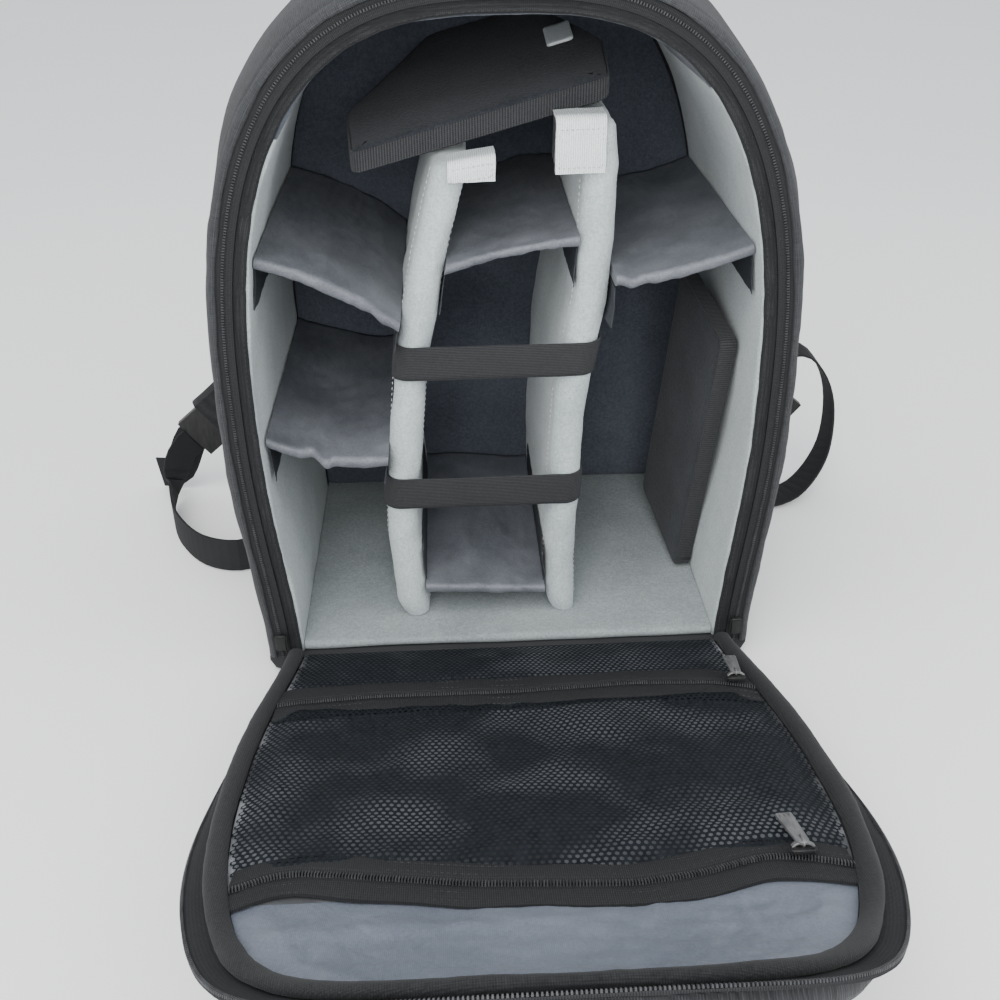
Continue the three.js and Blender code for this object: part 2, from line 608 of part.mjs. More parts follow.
// Stuffed front pocket under the flap; it carries the flap's far end on the table.
const pocketSideInset = 16;
const pocketNear = 50;
const pocketFar = flapCurlStart - 2;
const pocketSections = 9;
const pocketRings = Array.from({ length: pocketSections }, (_, i) => {
  const t = i / (pocketSections - 1);
  const s = pocketNear + (pocketFar - pocketNear) * t;
  const half = halfWidthAt(flapArch, -pocketSideInset, s);
  const top = onFlap(0, s, panelUnderLift - clearance);
  const foot = top.z * 0.22;
  return [
    [-half, top.z], [half, top.z],
    [half + foot * 0.25, top.z * 0.55], [half - foot * 0.4, top.z * 0.12], [half - foot, 0],
    [-half + foot, 0], [-half + foot * 0.4, top.z * 0.12], [-half - foot * 0.25, top.z * 0.55],
  ].map(([x, z]) => new THREE.Vector3(x, top.y, z));
});
const pocketFlat = pocketRings[0].map((p) => [p.x, p.z]);
add('front_pocket', loft(pocketRings, pocketFlat), shellCloth);

// Zip sliders and pulls.
const sliderLength = 12;
const sliderWidth = 8;
const sliderHeight = 3.6;
const pullLength = 25;
const pullWidth = 7.5;
const pullThickness = 1.6;
const sliderLift = zipLift + pocketZipThickness + zipCoilHeight + clearance;
const flapBox = (x, s, lift, sizeX, sizeS, sizeH, turn) => {
  const flat = rectangle(-sizeX / 2, -sizeS / 2, sizeX / 2, sizeS / 2).map(([a, b]) =>
    [x + a * Math.cos(turn) - b * Math.sin(turn), s + a * Math.sin(turn) + b * Math.cos(turn)]);
  return prism(flat, ([u, v]) => onFlap(u, v, lift), ([u, v]) => onFlap(u, v, lift + sizeH));
};
const pulls = [
  { name: 'upper', zip: upperZip, fromEdge: 8, turn: 0.06 },
  { name: 'lower', zip: lowerZip, fromEdge: 16, turn: -0.09 },
];
for (const { name, zip, fromEdge, turn } of pulls) {
  const x = zip.reachX - fromEdge;
  const place = zip.middle(x);
  add(`pocket_slider_${name}`,
    flapBox(x, place, sliderLift, sliderLength, sliderWidth, sliderHeight, 0), blackPlastic);
  const away = pullLength / 2 - sliderWidth / 4;
  const px = x + away * Math.sin(turn);
  const ps = place - away * Math.cos(turn);
  add(`pull_tab_${name}`, flapBox(px, ps, sliderLift + sliderHeight + clearance,
    pullWidth, pullLength, pullThickness, turn), zincPull);
}
// The two main sliders rest at the ends of the body's zip, just above the hinge.
const mainSliderRise = 10;
for (const [name, side] of [['left', -1], ['right', 1]]) {
  const slider = new THREE.BoxGeometry(sliderWidth, sliderHeight, sliderLength);
  const lift = clearance * 2 + zipTapeThickness + zipCoilHeight + sliderHeight / 2;
  slider.translate(side * footHalfWidth, frontY - lift, hingeHeight + mainSliderRise);
  add(`main_slider_${name}`, slider, blackPlastic);
}

// Harness: padded straps, adjusters and webbing behind and beside the body.
// Flat strap through chosen points; across gives the direction of its width at each tangent.
function strap(points, width, thickness, steps, across, taper = 1) {
  const curve = new THREE.CatmullRomCurve3(points, false, 'centripetal');
  const rings = Array.from({ length: steps + 1 }, (_, i) => {
    const t = i / steps;
    const at = curve.getPointAt(t);
    const tangent = curve.getTangentAt(t);
    const wide = across(tangent).clone();
    wide.addScaledVector(tangent, -wide.dot(tangent)).normalize();
    const thick = tangent.clone().cross(wide).normalize();
    const half = width / 2 * (1 + (taper - 1) * t);
    return rectangle(-half, -thickness / 2, half, thickness / 2)
      .map(([w, h]) => at.clone().addScaledVector(wide, w).addScaledVector(thick, h));
  });
  return loft(rings, rectangle(-width / 2, -thickness / 2, width / 2, thickness / 2));
}
const rearward = new THREE.Vector3(0, 1, 0);
const upward = new THREE.Vector3(0, 0, 1);
// Columns: share of the body's half width, strap thicknesses behind the back, share of its height.
const strapRoute = [[0.27, 0.5, 0.84], [0.33, 1.3, 0.73], [0.5, 1.7, 0.54], [0.78, 1.6, 0.35],
  [1.08, 1.2, 0.22], [1.27, 0.9, 0.155]];
const strapPoint = (side) => ([wide, behind, high]) => new THREE.Vector3(
  side * wide * bodyHalfWidth,
  backY + clearance + behind * strapThickness,
  high * bodyHeight,
);
const facingBack = (tangent) => tangent.clone().cross(rearward);
for (const [name, side] of [['left', -1], ['right', 1]]) {
  add(`shoulder_strap_${name}`,
    strap(strapRoute.map(strapPoint(side)), strapWidth, strapThickness, 20, facingBack, 0.72), darkTrim);
}
// Plain adjuster at the lower end of each strap, in line with it.
const lockSize = [34, 7, 20];
const locks = {};
for (const [name, side] of [['left', -1], ['right', 1]]) {
  const end = strapPoint(side)(strapRoute.at(-1));
  const before = strapPoint(side)(strapRoute.at(-2));
  const along = end.clone().sub(before).normalize();
  const centre = end.clone().addScaledVector(along, lockSize[2] / 2 + clearance);
  const lock = new THREE.BoxGeometry(...lockSize);
  const wide = facingBack(along).normalize();
  const basis = new THREE.Matrix4().makeBasis(wide, along.clone().cross(wide), along);
  lock.applyMatrix4(basis.setPosition(centre));
  add(`ladder_lock_${name}`, lock, blackPlastic);
  const mouth = centre.addScaledVector(along, lockSize[2] / 2 + clearance);
  locks[name] = (out, behind) =>
    mouth.clone().addScaledVector(along, out).addScaledVector(rearward, behind * lockSize[1]);
}
// Webbing from the body's side to the adjuster, standing on its edge on the table.
const webbingLift = webbingWidth / 2 + 1.5;
const wallGap = clearance + webbingThickness / 2;
const leftWall = (y) => -gussetSide(y, webbingLift + webbingWidth / 2) - wallGap;
const leftX = leftWall(0);
const leftRoute = [
  new THREE.Vector3(leftWall(46), 46, webbingLift),
  new THREE.Vector3(leftWall(22) - 2 * wallGap, 22, webbingLift),
  new THREE.Vector3(leftX - 22, 5, webbingLift),
  new THREE.Vector3(leftX - 48, 12, webbingLift),
  new THREE.Vector3(leftX - 72, 42, webbingLift),
  new THREE.Vector3(leftX - 84, 76, webbingLift),
  new THREE.Vector3(leftX - 87, 98, webbingLift + 4),
  locks.left(11, -1),
  locks.left(1.6, -0.25),
];
add('webbing_left', strap(leftRoute, webbingWidth, webbingThickness, 32, () => upward), darkTrim);
const tailEnd = locks.left(0, 0);
const tailRoute = [
  locks.left(-7, 0.76),
  locks.left(5, 1.1),
  new THREE.Vector3(tailEnd.x - 20, tailEnd.y + 9, webbingLift + 2),
  new THREE.Vector3(tailEnd.x - 34, tailEnd.y + 12, webbingLift),
];
add('webbing_tail_left', strap(tailRoute, webbingWidth, webbingThickness, 10, () => upward), darkTrim);
const flatLift = 3; // webbing lying flat on the table
const rightEndY = 66;
const rightX = gussetSide(0, flatLift);
const rightWall = gussetSide(rightEndY - webbingWidth / 2, flatLift + 24) + wallGap;
const rightRoute = [
  new THREE.Vector3(rightX + 58, 120.5, 93.5),
  new THREE.Vector3(rightX + 65.5, 120, 106),
  new THREE.Vector3(rightX + 79.5, 118, 107),
  new THREE.Vector3(rightX + 93.5, 114, 92),
  new THREE.Vector3(rightX + 100.5, 108, 68),
  new THREE.Vector3(rightX + 95.5, 96, 32),
  new THREE.Vector3(rightX + 73.5, 82, 8),
  new THREE.Vector3(rightX + 47, 74, flatLift),
  new THREE.Vector3(rightX + 18, rightEndY + 2, flatLift + 1),
  new THREE.Vector3(rightWall + 3, rightEndY, flatLift + 9),
  new THREE.Vector3(rightWall, rightEndY, flatLift + 24),
];
add('webbing_right', strap(rightRoute, webbingWidth, webbingThickness, 36, () => rearward), darkTrim);

// Plain haul loop at the top of the back.
const haulHalf = 45;
const haulRise = 34;
const haulY = backY - backThickness - webbingWidth / 2;
const crownZ = (x) => {
  const rows = bodyArch.slice(0, archSteps + 1).map((st) => offset(st, gussetOut(haulY - webbingWidth / 2)));
  return hingeHeight + lerpTable(rows.reverse(), Math.abs(x));
};
const haulRoute = [-1, -0.8, 0, 0.8, 1].map((share) => new THREE.Vector3(
  share * haulHalf, haulY,
  crownZ(share * haulHalf) + 3 * clearance + haulRise * (1 - share * share) ** 0.6,
));
add('haul_loop', strap(haulRoute, webbingWidth, webbingThickness * 2, 16, () => rearward), darkTrim);

export default bag;
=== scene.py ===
"""Open camera backpack: cloth, foam, mesh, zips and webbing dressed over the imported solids."""
import math
import random

import bmesh
import bpy
import numpy as np
from mathutils import Matrix, Vector, noise


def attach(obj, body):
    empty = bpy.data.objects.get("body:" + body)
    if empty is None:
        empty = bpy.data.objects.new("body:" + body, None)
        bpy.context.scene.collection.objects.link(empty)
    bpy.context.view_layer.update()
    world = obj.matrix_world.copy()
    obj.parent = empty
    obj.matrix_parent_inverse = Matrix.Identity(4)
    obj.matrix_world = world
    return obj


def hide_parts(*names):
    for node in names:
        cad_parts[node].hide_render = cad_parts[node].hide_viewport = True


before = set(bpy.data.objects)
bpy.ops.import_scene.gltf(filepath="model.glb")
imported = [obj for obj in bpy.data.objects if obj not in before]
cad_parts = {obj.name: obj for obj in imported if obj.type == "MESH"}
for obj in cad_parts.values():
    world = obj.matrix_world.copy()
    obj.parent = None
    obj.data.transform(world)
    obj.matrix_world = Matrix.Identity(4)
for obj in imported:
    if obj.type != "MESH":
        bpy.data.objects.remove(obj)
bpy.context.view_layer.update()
random.seed(7)

# Sizes in millimetres, the same values as the solids.
GAP = 0.3
DEPTH = 215.0
OPEN_HALF, FOOT_HALF = 150.0, 140.0
HINGE_Z, SIDE_RISE, OPEN_RISE = 16.0, 150.0, 375.0
CROWN, SIDE_BOW = 2.73, 1.54
RIM_OUT, RIM_IN, RIM_T = 9.0, 11.0, 3.0
BULGE = 9.0
BACK_T, BASE_T, PAD_T, FLOOR_T, LINING_T = 10.0, 12.0, 12.0, 6.0, 6.0
FRONT_Y, BACK_Y = -DEPTH / 2, DEPTH / 2
GUSSET_BACK = BACK_Y - BACK_T - GAP
LINING_FRONT = GUSSET_BACK - LINING_T
FLOOR_TOP = BASE_T + GAP + FLOOR_T
PAD_IN = -(GAP + PAD_T)
FLAP_ANGLE = math.radians(16.3)
FLAP_START, FLAP_T, FLAP_RECESS = 8.0, 12.0, 2.0
CURL_START, CURL_R = 280.0, 135.0
DIV_T, DIV_FRONT = 19.0, FRONT_Y + 25.0
# Tall dividers: x of the foot, height, bow, and rows of (share of the height, share of the bow).
LEFT_DIV = (-57.0, 287.0, 30.0, [(0, 0), (0.04, -0.1), (0.21, -0.22), (0.32, -0.18), (0.41, -0.07),
                                 (0.54, 0.05), (0.64, 0.17), (0.73, 0.35), (0.82, 0.53), (0.915, 0.77),
                                 (1, 1)])
RIGHT_DIV = (36.0, 307.0, 14.0, [(0, 0), (0.03, -0.14), (0.1, -0.18), (0.23, -0.18), (0.3, -0.07),
                                 (0.42, 0.04), (0.49, 0.14), (0.54, 0.29), (0.62, 0.6), (0.68, 0.86),
                                 (0.8, 1), (0.92, 1.07), (1, 0.8)])


# Outline of the opening.
def half_outline(start, count):
    s1 = np.linspace(start, SIDE_RISE, 80)
    share = np.clip(s1, 0, None) / SIDE_RISE
    x1 = FOOT_HALF + (OPEN_HALF - FOOT_HALF) * np.sin(share * np.pi / 2) ** SIDE_BOW
    a = np.linspace(0, np.pi / 2, 400)[1:]
    x2 = OPEN_HALF * np.clip(np.cos(a), 0, None) ** (2 / CROWN)
    s2 = SIDE_RISE + (OPEN_RISE - SIDE_RISE) * np.sin(a) ** (2 / CROWN)
    x, s = np.r_[x1, x2], np.r_[s1, s2]
    run = np.r_[0, np.cumsum(np.hypot(np.diff(x), np.diff(s)))]
    at = np.linspace(0, run[-1], count + 1)
    return np.interp(at, run, x), np.interp(at, run, s)


def arch(start, count):
    """Stations from the right foot over the top to the left foot: points and outward normals."""
    x, s = half_outline(start, count)
    dx, ds = np.gradient(x), np.gradient(s)
    ln = np.hypot(dx, ds)
    nx, ns = ds / ln, -dx / ln
    nx[0], ns[0], x[-1], nx[-1], ns[-1] = 1, 0, 0, 0, 1
    px = np.r_[x, -x[-2::-1]]
    ps = np.r_[s, s[-2::-1]]
    return np.c_[px, ps], np.c_[np.r_[nx, -nx[-2::-1]], np.r_[ns, ns[-2::-1]]]


def on_body(x, s, d):
    """Points x across, s up from the hinge and d behind the opening's plane."""
    return np.stack(np.broadcast_arrays(x, FRONT_Y + d, HINGE_Z + s), -1)


def on_flap(x, s, h):
    """Points x across, s out from the hinge and h above the flap, on its slope and its far curl."""
    ca, sa = math.cos(FLAP_ANGLE), math.sin(FLAP_ANGLE)
    turn = np.maximum(0, np.asarray(s, float) - CURL_START) / CURL_R
    along = np.minimum(s, CURL_START) + (CURL_R - h) * np.sin(turn)
    rise = CURL_R - (CURL_R - h) * np.cos(turn)
    return np.stack(np.broadcast_arrays(x, FRONT_Y - along * ca + rise * sa,
                                        HINGE_Z + along * sa + rise * ca), -1)


def divider_x(div, z):
    """Middle of a tall divider at a height."""
    foot, height, bow, rows = div
    zs = [FLOOR_TOP + GAP + height * r for r, _ in rows]
    return np.interp(z, zs, [foot + bow * b for _, b in rows])


def divider_top(div):
    return FLOOR_TOP + GAP + div[1]


BODY_P, BODY_N = arch(BASE_T + GAP - HINGE_Z, 90)
FLAP_P, FLAP_N = arch(FLAP_START, 90)


def half_width(pts, nrm, out, s):
    k = len(pts) // 2 + 1
    q = (pts + nrm * out)[:k]
    return np.interp(s, q[:, 1], q[:, 0])


def pad_face(z):
    return half_width(BODY_P, BODY_N, PAD_IN, np.asarray(z) - HINGE_Z)


# Mesh helpers.
def add_object(name, data):
    ob = bpy.data.objects.new(name, data)
    bpy.context.scene.collection.objects.link(ob)
    return ob


def lengths(points):
    """Length along a polyline up to each of its points."""
    return np.r_[0, np.cumsum(np.linalg.norm(np.diff(points, axis=0), axis=1))]


def make(name, verts, faces, material, uvs=None, sharp=35.0):
    """Mesh object from millimetre points, smooth shaded, with optional UVs in metres for each vertex."""
    mesh = bpy.data.meshes.new(name)
    mesh.from_pydata([tuple(v) for v in np.asarray(verts) * 0.001], [],
                     [tuple(int(i) for i in f) for f in faces])
    mesh.update()
    if uvs is not None:
        layer = mesh.uv_layers.new(name="UVMap")
        index = np.empty(len(mesh.loops), dtype=np.int64)
        mesh.loops.foreach_get("vertex_index", index)
        layer.data.foreach_set("uv", (np.asarray(uvs)[index] * 0.001).ravel())
    mesh.shade_smooth()
    mesh.set_sharp_from_angle(angle=math.radians(sharp))
    mesh.materials.append(material.m)
    ob = add_object(name, mesh)
    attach(ob, "root")
    return ob


def sweep(name, rings, material, closed_ring=True, closed_path=False, caps=True, sharp=35.0):
    """Solid or strip through equal rings, array of rings x points x 3, with metric UVs."""
    rings = np.asarray(rings, float)
    count, n = rings.shape[:2]
    wrap = 1 if closed_ring else 0
    ext = np.concatenate([rings, rings[:, :1]], 1) if closed_ring else rings
    cols = n + wrap
    verts = ext.reshape(-1, 3)
    mid = rings.mean(1)
    u = lengths(mid)
    v = lengths(ext[count // 2])
    uvs = np.stack(np.meshgrid(u, v, indexing="ij"), -1).reshape(-1, 2)
    faces = []
    last = count if closed_path else count - 1
    for i in range(last):
        a, b = i * cols, ((i + 1) % count) * cols
        for j in range(cols - 1):
            faces.append((a + j, b + j, b + j + 1, a + j + 1))
    if caps and closed_ring and not closed_path:
        faces.append(tuple(range(cols - 1)))
        faces.append(tuple(reversed(range((count - 1) * cols, (count - 1) * cols + cols - 1))))
    ob = make(name, verts, faces, material, uvs, sharp)
    tidy(ob, closed_ring)
    return ob


def tidy(ob, weld=True):
    """Welds the seam column and turns every face outward."""
    bm = bmesh.new()
    bm.from_mesh(ob.data)
    if weld:
        bmesh.ops.remove_doubles(bm, verts=bm.verts, dist=1e-6)
    bmesh.ops.recalc_face_normals(bm, faces=bm.faces)
    bm.to_mesh(ob.data)
    bm.free()
    ob.data.update()


def ruffle(ob, amp, size, seed=0, stretch=(1, 1, 1), weight=None):
    """Moves the points along their normals by smooth noise, in millimetres."""
    mesh = ob.data
    offset = Vector((seed * 7.3, seed * 3.1, seed * 5.7))
    moved = []
    for v in mesh.vertices:
        p = Vector((v.co.x * stretch[0], v.co.y * stretch[1], v.co.z * stretch[2])) * (1000.0 / size) + offset
        k = weight(v.co * 1000.0) if weight else 1.0
        moved.append(v.co + v.normal * (noise.noise(p) * amp * 0.001 * k))
    for v, co in zip(mesh.vertices, moved):
        v.co = co
    mesh.update()


def even(points, count):
    """Evenly spaced points round a closed 2D loop."""
    pts = np.vstack([points, points[:1]])
    run = np.r_[0, np.cumsum(np.hypot(*np.diff(pts, axis=0).T))]
    at = np.linspace(0, run[-1], count, endpoint=False)
    return np.c_[np.interp(at, run, pts[:, 0]), np.interp(at, run, pts[:, 1])]


def inward(loop, dist):
    """The loop moved towards its inside by a distance, with few folds on a convex loop."""
    t = np.roll(loop, -1, axis=0) - np.roll(loop, 1, axis=0)
    t /= np.linalg.norm(t, axis=1)[:, None] + 1e-9
    nrm = np.c_[-t[:, 1], t[:, 0]]
    x, y = loop.T
    area = np.sum(x * np.roll(y, -1) - np.roll(x, -1) * y)
    return loop + nrm * dist * np.sign(area)


def slab(name, outline, profile, place, material, rings_in=8, count=120, sharp=50.0):
    """Padded plate: outline in its plane, rows of (inset, lift) round its edge, filled to the middle."""
    base = even(outline, count)
    centre = base.mean(0)
    rows = []

    def shrink(k):
        return centre + (base - centre) * k
    size = np.abs(base - centre).max()
    first, last = profile[0], profile[-1]
    for t in np.linspace(0.04, 1, rings_in)[:-1]:
        rows.append((shrink(t * (1 - first[0] / size)), first[1]))
    for inset, lift in profile:
        rows.append((inward(base, inset), lift))
    for t in np.linspace(1, 0.04, rings_in)[1:]:
        rows.append((shrink(t * (1 - last[0] / size)), last[1]))
    verts = np.concatenate([place(q[:, 0], q[:, 1], np.full(len(q), lift)) for q, lift in rows])
    uvs = np.concatenate([q for q, _ in rows])
    faces = []
    for i in range(len(rows) - 1):
        a, b = i * count, (i + 1) * count
        for j in range(count):
            k = (j + 1) % count
            faces.append((a + j, b + j, b + k, a + k))
    faces.append(tuple(reversed(range(count))))
    faces.append(tuple(range((len(rows) - 1) * count, len(rows) * count)))
    ob = make(name, verts, faces, material, uvs, sharp)
    tidy(ob, False)
    return ob


def smooth_path(points, count):
    """Even points on a Catmull-Rom spline through the given ones."""
    p = np.asarray(points, float)
    ext = np.vstack([2 * p[0] - p[1], p, 2 * p[-1] - p[-2]])
    out = []
    for i in range(1, len(ext) - 2):
        for t in np.linspace(0, 1, 24, endpoint=False):
            a, b, c, d = ext[i - 1:i + 3]
            out.append(0.5 * (2 * b + (c - a) * t + (2 * a - 5 * b + 4 * c - d) * t ** 2
                              + (3 * b - a - 3 * c + d) * t ** 3))
    out.append(p[-1])
    out = np.array(out)
    run = lengths(out)
    at = np.linspace(0, run[-1], count)
    return np.stack([np.interp(at, run, out[:, k]) for k in range(3)], 1)


def ribbon_rings(path, width, thick, across, taper=1.0):
    """Rings of a flat strap along a path; across(tangent, t) gives the width direction."""
    tan = np.gradient(path, axis=0)
    tan /= np.linalg.norm(tan, axis=1)[:, None]
    rings = []
    for i, (p, t) in enumerate(zip(path, tan)):
        share = i / (len(path) - 1)
        w = np.asarray(across(t, share), float)
        w = w - t * (w @ t)
        w /= np.linalg.norm(w)
        n = np.cross(t, w)
        half = width / 2 * (1 + (taper - 1) * share)
        h = thick / 2
        e = min(h, half) * 0.9
        flat = [(-half, -h * 0.3), (-half + e * 0.5, -h), (-half / 2, -h), (0, -h), (half / 2, -h),
                (half - e * 0.5, -h), (half, -h * 0.3), (half, h * 0.3), (half - e * 0.5, h), (half / 2, h),
                (0, h), (-half / 2, h), (-half + e * 0.5, h), (-half, h * 0.3)]
        rings.append([p + w * a + n * b for a, b in flat])
    return np.array(rings)


def beads(name, centres, along, side, up, size, material, rounded):
    """Many small bumps in one mesh: stitches or zip teeth. size is (length, width, height)."""
    verts, faces = [], []
    a, b, c = size[0] / 2, size[1] / 2, size[2]
    for p, t, s, u in zip(centres, along, side, up):
        k = len(verts)
        if rounded:
            verts += [p - t * a, p - s * b, p + t * a, p + s * b, p + u * c - t * a * 0.35,
                      p + u * c + t * a * 0.35]
            faces += [(k, k + 1, k + 5, k + 4), (k + 1, k + 2, k + 5), (k + 2, k + 3, k + 5),
                      (k + 3, k + 4, k + 5), (k + 3, k, k + 4), (k, k + 3, k + 2, k + 1)]
        else:
            for x, y, z in ((-1, -1, 0), (1, -1, 0), (1, 1, 0), (-1, 1, 0), (-.7, -.8, 1), (.7, -.8, 1),
                            (.7, .8, 1), (-.7, .8, 1)):
                verts.append(p + t * a * x + s * b * y + u * c * z)
            faces += [(k, k + 3, k + 2, k + 1), (k + 4, k + 5, k + 6, k + 7), (k, k + 1, k + 5, k + 4),
                      (k + 1, k + 2, k + 6, k + 5), (k + 2, k + 3, k + 7, k + 6), (k + 3, k, k + 4, k + 7)]
    return make(name, verts, faces, material, sharp=60.0)


def run_along(path, pitch):
    """Even points and tangents along a polyline, a pitch apart."""
    run = lengths(path)
    at = np.arange(pitch / 2, run[-1], pitch)
    pts = np.stack([np.interp(at, run, path[:, k]) for k in range(3)], 1)
    tan = np.gradient(pts, axis=0)
    tan /= np.linalg.norm(tan, axis=1)[:, None]
    return pts, tan


def run_index(path, pitch):
    """Nearest point of the path for each even place along it."""
    run = lengths(path)
    return np.searchsorted(run, np.arange(pitch / 2, run[-1], pitch)).clip(0, len(path) - 1)


def bead_row(name, path, up, material, pitch, size, rounded):
    pts, tan = run_along(np.asarray(path, float), pitch)
    up = np.broadcast_to(np.asarray(up, float), pts.shape)
    side = np.cross(up, tan)
    side /= np.linalg.norm(side, axis=1)[:, None]
    return beads(name, pts, tan, side, up, size, material, rounded)


def stitches(name, path, up, material, pitch, size):
    return bead_row(name, path, up, material, pitch, size, True)


def teeth(name, path, up, material, pitch, size):
    return bead_row(name, path, up, material, pitch, size, False)


# Materials.
class Mat:
    """Procedural material built on one Principled shader."""

    def __init__(self, name, slot, rough=0.8, metallic=0.0, sheen=0.0, specular=0.4):
        self.m = bpy.data.materials.new(name)
        self.slot = slot
        self.m.use_nodes = True
        self.t = self.m.node_tree
        self.b = self.t.nodes["Principled BSDF"]
        self.b.inputs["Roughness"].default_value = rough
        self.b.inputs["Metallic"].default_value = metallic
        self.b.inputs["Specular IOR Level"].default_value = specular
        if sheen:
            self.b.inputs["Sheen Weight"].default_value = sheen
            self.b.inputs["Sheen Roughness"].default_value = 0.5

    def node(self, kind, ins=None, **attrs):
        n = self.t.nodes.new("ShaderNode" + kind)
        for k, v in attrs.items():
            setattr(n, k, v)
        for k, v in (ins or {}).items():
            if isinstance(v, bpy.types.NodeSocket):
                self.t.links.new(v, n.inputs[k])
            else:
                n.inputs[k].default_value = v
        return n

    def coords(self, kind, scale=(1, 1, 1), turn=(0, 0, 0)):
        tc = self.node("TexCoord")
        mp = self.node("Mapping", {"Vector": tc.outputs[kind], "Scale": scale, "Rotation": turn})
        return mp.outputs["Vector"]

    def noise(self, vec, scale, detail=3.0, rough=0.55):
        return self.node("TexNoise", {"Vector": vec, "Scale": scale, "Detail": detail,
                                      "Roughness": rough}).outputs["Fac"]

    def wave(self, vec, period_mm, axis, distort=0.0):
        scale = 2 * math.pi / (20 * period_mm * 0.001)
        return self.node("TexWave", {"Vector": vec, "Scale": scale, "Distortion": distort, "Detail": 1.0},
                         wave_type="BANDS", bands_direction=axis, wave_profile="SIN").outputs["Fac"]

    def math(self, op, a, b=0.0):
        n = self.node("Math", operation=op)
        for i, v in enumerate((a, b)):
            if isinstance(v, bpy.types.NodeSocket):
                self.t.links.new(v, n.inputs[i])
            else:
                n.inputs[i].default_value = v
        return n.outputs[0]

    def ramp(self, fac, stops):
        n = self.node("ValToRGB", {"Fac": fac})
        el = n.color_ramp.elements
        while len(el) < len(stops):
            el.new(0.5)
        for e, (pos, col) in zip(el, stops):
            e.position = pos
            e.color = (*col, 1) if len(col) == 3 else col
        return n.outputs["Color"]

    def mix(self, fac, a, b, blend="MIX"):
        n = self.node("Mix", data_type="RGBA", blend_type=blend)
        for key, v in ((0, fac), (6, a), (7, b)):
            if isinstance(v, bpy.types.NodeSocket):
                self.t.links.new(v, n.inputs[key])
            else:
                n.inputs[key].default_value = v if key == 0 else (*v, 1)
        return n.outputs[2]

    def blend(self, a, b, share):
        """Value of a times its share plus b times the rest."""
        return self.math("ADD", self.math("MULTIPLY", a, share), self.math("MULTIPLY", b, 1 - share))

    def shade(self, col, tone):
        """The colour times a grey tone."""
        tone = self.node("CombineXYZ", {0: tone, 1: tone, 2: tone}).outputs[0]
        return self.mix(1.0, col, tone, "MULTIPLY")

    def color(self, socket):
        self.t.links.new(socket, self.b.inputs["Base Color"])

    def rough(self, fac, lo, hi):
        n = self.node("MapRange", {"Value": fac, "To Min": lo, "To Max": hi})
        self.t.links.new(n.outputs[0], self.b.inputs["Roughness"])

    def bump(self, heights):
        """heights is a list of (socket, strength, distance in mm), chained from coarse to fine."""
        prev = None
        for socket, strength, dist in heights:
            ins = {"Height": socket, "Strength": strength, "Distance": dist * 0.001}
            if prev is not None:
                ins["Normal"] = prev
            prev = self.node("Bump", ins).outputs["Normal"]
        self.t.links.new(prev, self.b.inputs["Normal"])
        return self


COOL = (1, 1.03, 1.09)


def grey(v, tint=(1, 1, 1)):
    return tuple(v * k for k in tint)


def woven(name, slot, dark, light, pitch, coords="UV", bump=0.5, ripstop=0.0, **kw):
    """Plain weave with heathered yarns; ripstop adds a check every few millimetres."""
    m = Mat(name, slot, **kw)
    vec = m.coords(coords)
    wx, wy = m.wave(vec, pitch, "X"), m.wave(vec, pitch, "Y")
    weave = m.math("MULTIPLY", wx, wy)
    yarn_a = m.noise(m.coords(coords, scale=(1, 12, 12)), 160.0, 2.0)
    yarn_b = m.noise(m.coords(coords, scale=(12, 1, 12)), 160.0, 2.0)
    heather = m.math("MULTIPLY", m.math("ADD", yarn_a, yarn_b), 0.5)
    broad = m.noise(m.coords("Object"), 14.0, 4.0)
    fac = m.blend(heather, broad, 0.75)
    col = m.ramp(fac, [(0.36, dark), (0.64, light)])
    shade = m.math("ADD", m.math("MULTIPLY", weave, 0.5), 0.6)
    col = m.shade(col, shade)
    if ripstop:
        line = m.math("MAXIMUM", m.wave(vec, ripstop, "X"), m.wave(vec, ripstop, "Y"))
        col = m.mix(m.math("MULTIPLY", m.math("GREATER_THAN", line, 0.93), 0.16), col, light)
    m.color(col)
    m.bump([(broad, 0.25, 1.2), (weave, bump, pitch * 0.35), (heather, 0.3, 0.15)])
    return m


def felted(name, slot, dark, light, fuzz=0.6, **kw):
    """Brushed loop lining: fine nap over soft mottling."""
    m = Mat(name, slot, **kw)
    vec = m.coords("Object")
    nap = m.noise(vec, 1300.0, 2.0, 0.75)
    tuft = m.noise(vec, 520.0, 3.0, 0.6)
    broad = m.noise(vec, 22.0, 4.0)
    fac = m.blend(tuft, broad, 0.55)
    col = m.ramp(fac, [(0.3, dark), (0.7, light)])
    tone = m.math("ADD", m.math("MULTIPLY", nap, 1.1), 0.45)
    col = m.shade(col, tone)
    m.color(col)
    m.bump([(broad, 0.3, 2.0), (tuft, fuzz, 0.7), (nap, fuzz, 0.35)])
    return m


def hooks(name, slot, dark, light, **kw):
    """Hook tape: rows of tiny stiff loops."""
    m = Mat(name, slot, **kw)
    vec = m.coords("UV")
    rows = m.wave(vec, 1.15, "Y", distort=2.5)
    loops = m.noise(m.coords("Object"), 1300.0, 2.0, 0.7)
    broad = m.noise(m.coords("Object"), 60.0, 3.0)
    fac = m.blend(rows, loops, 0.35)
    m.color(m.mix(m.math("MULTIPLY", broad, 0.3), m.ramp(fac, [(0.28, dark), (0.62, light)]), light))
    m.bump([(loops, 0.7, 0.5), (rows, 0.5, 0.4)])
    return m


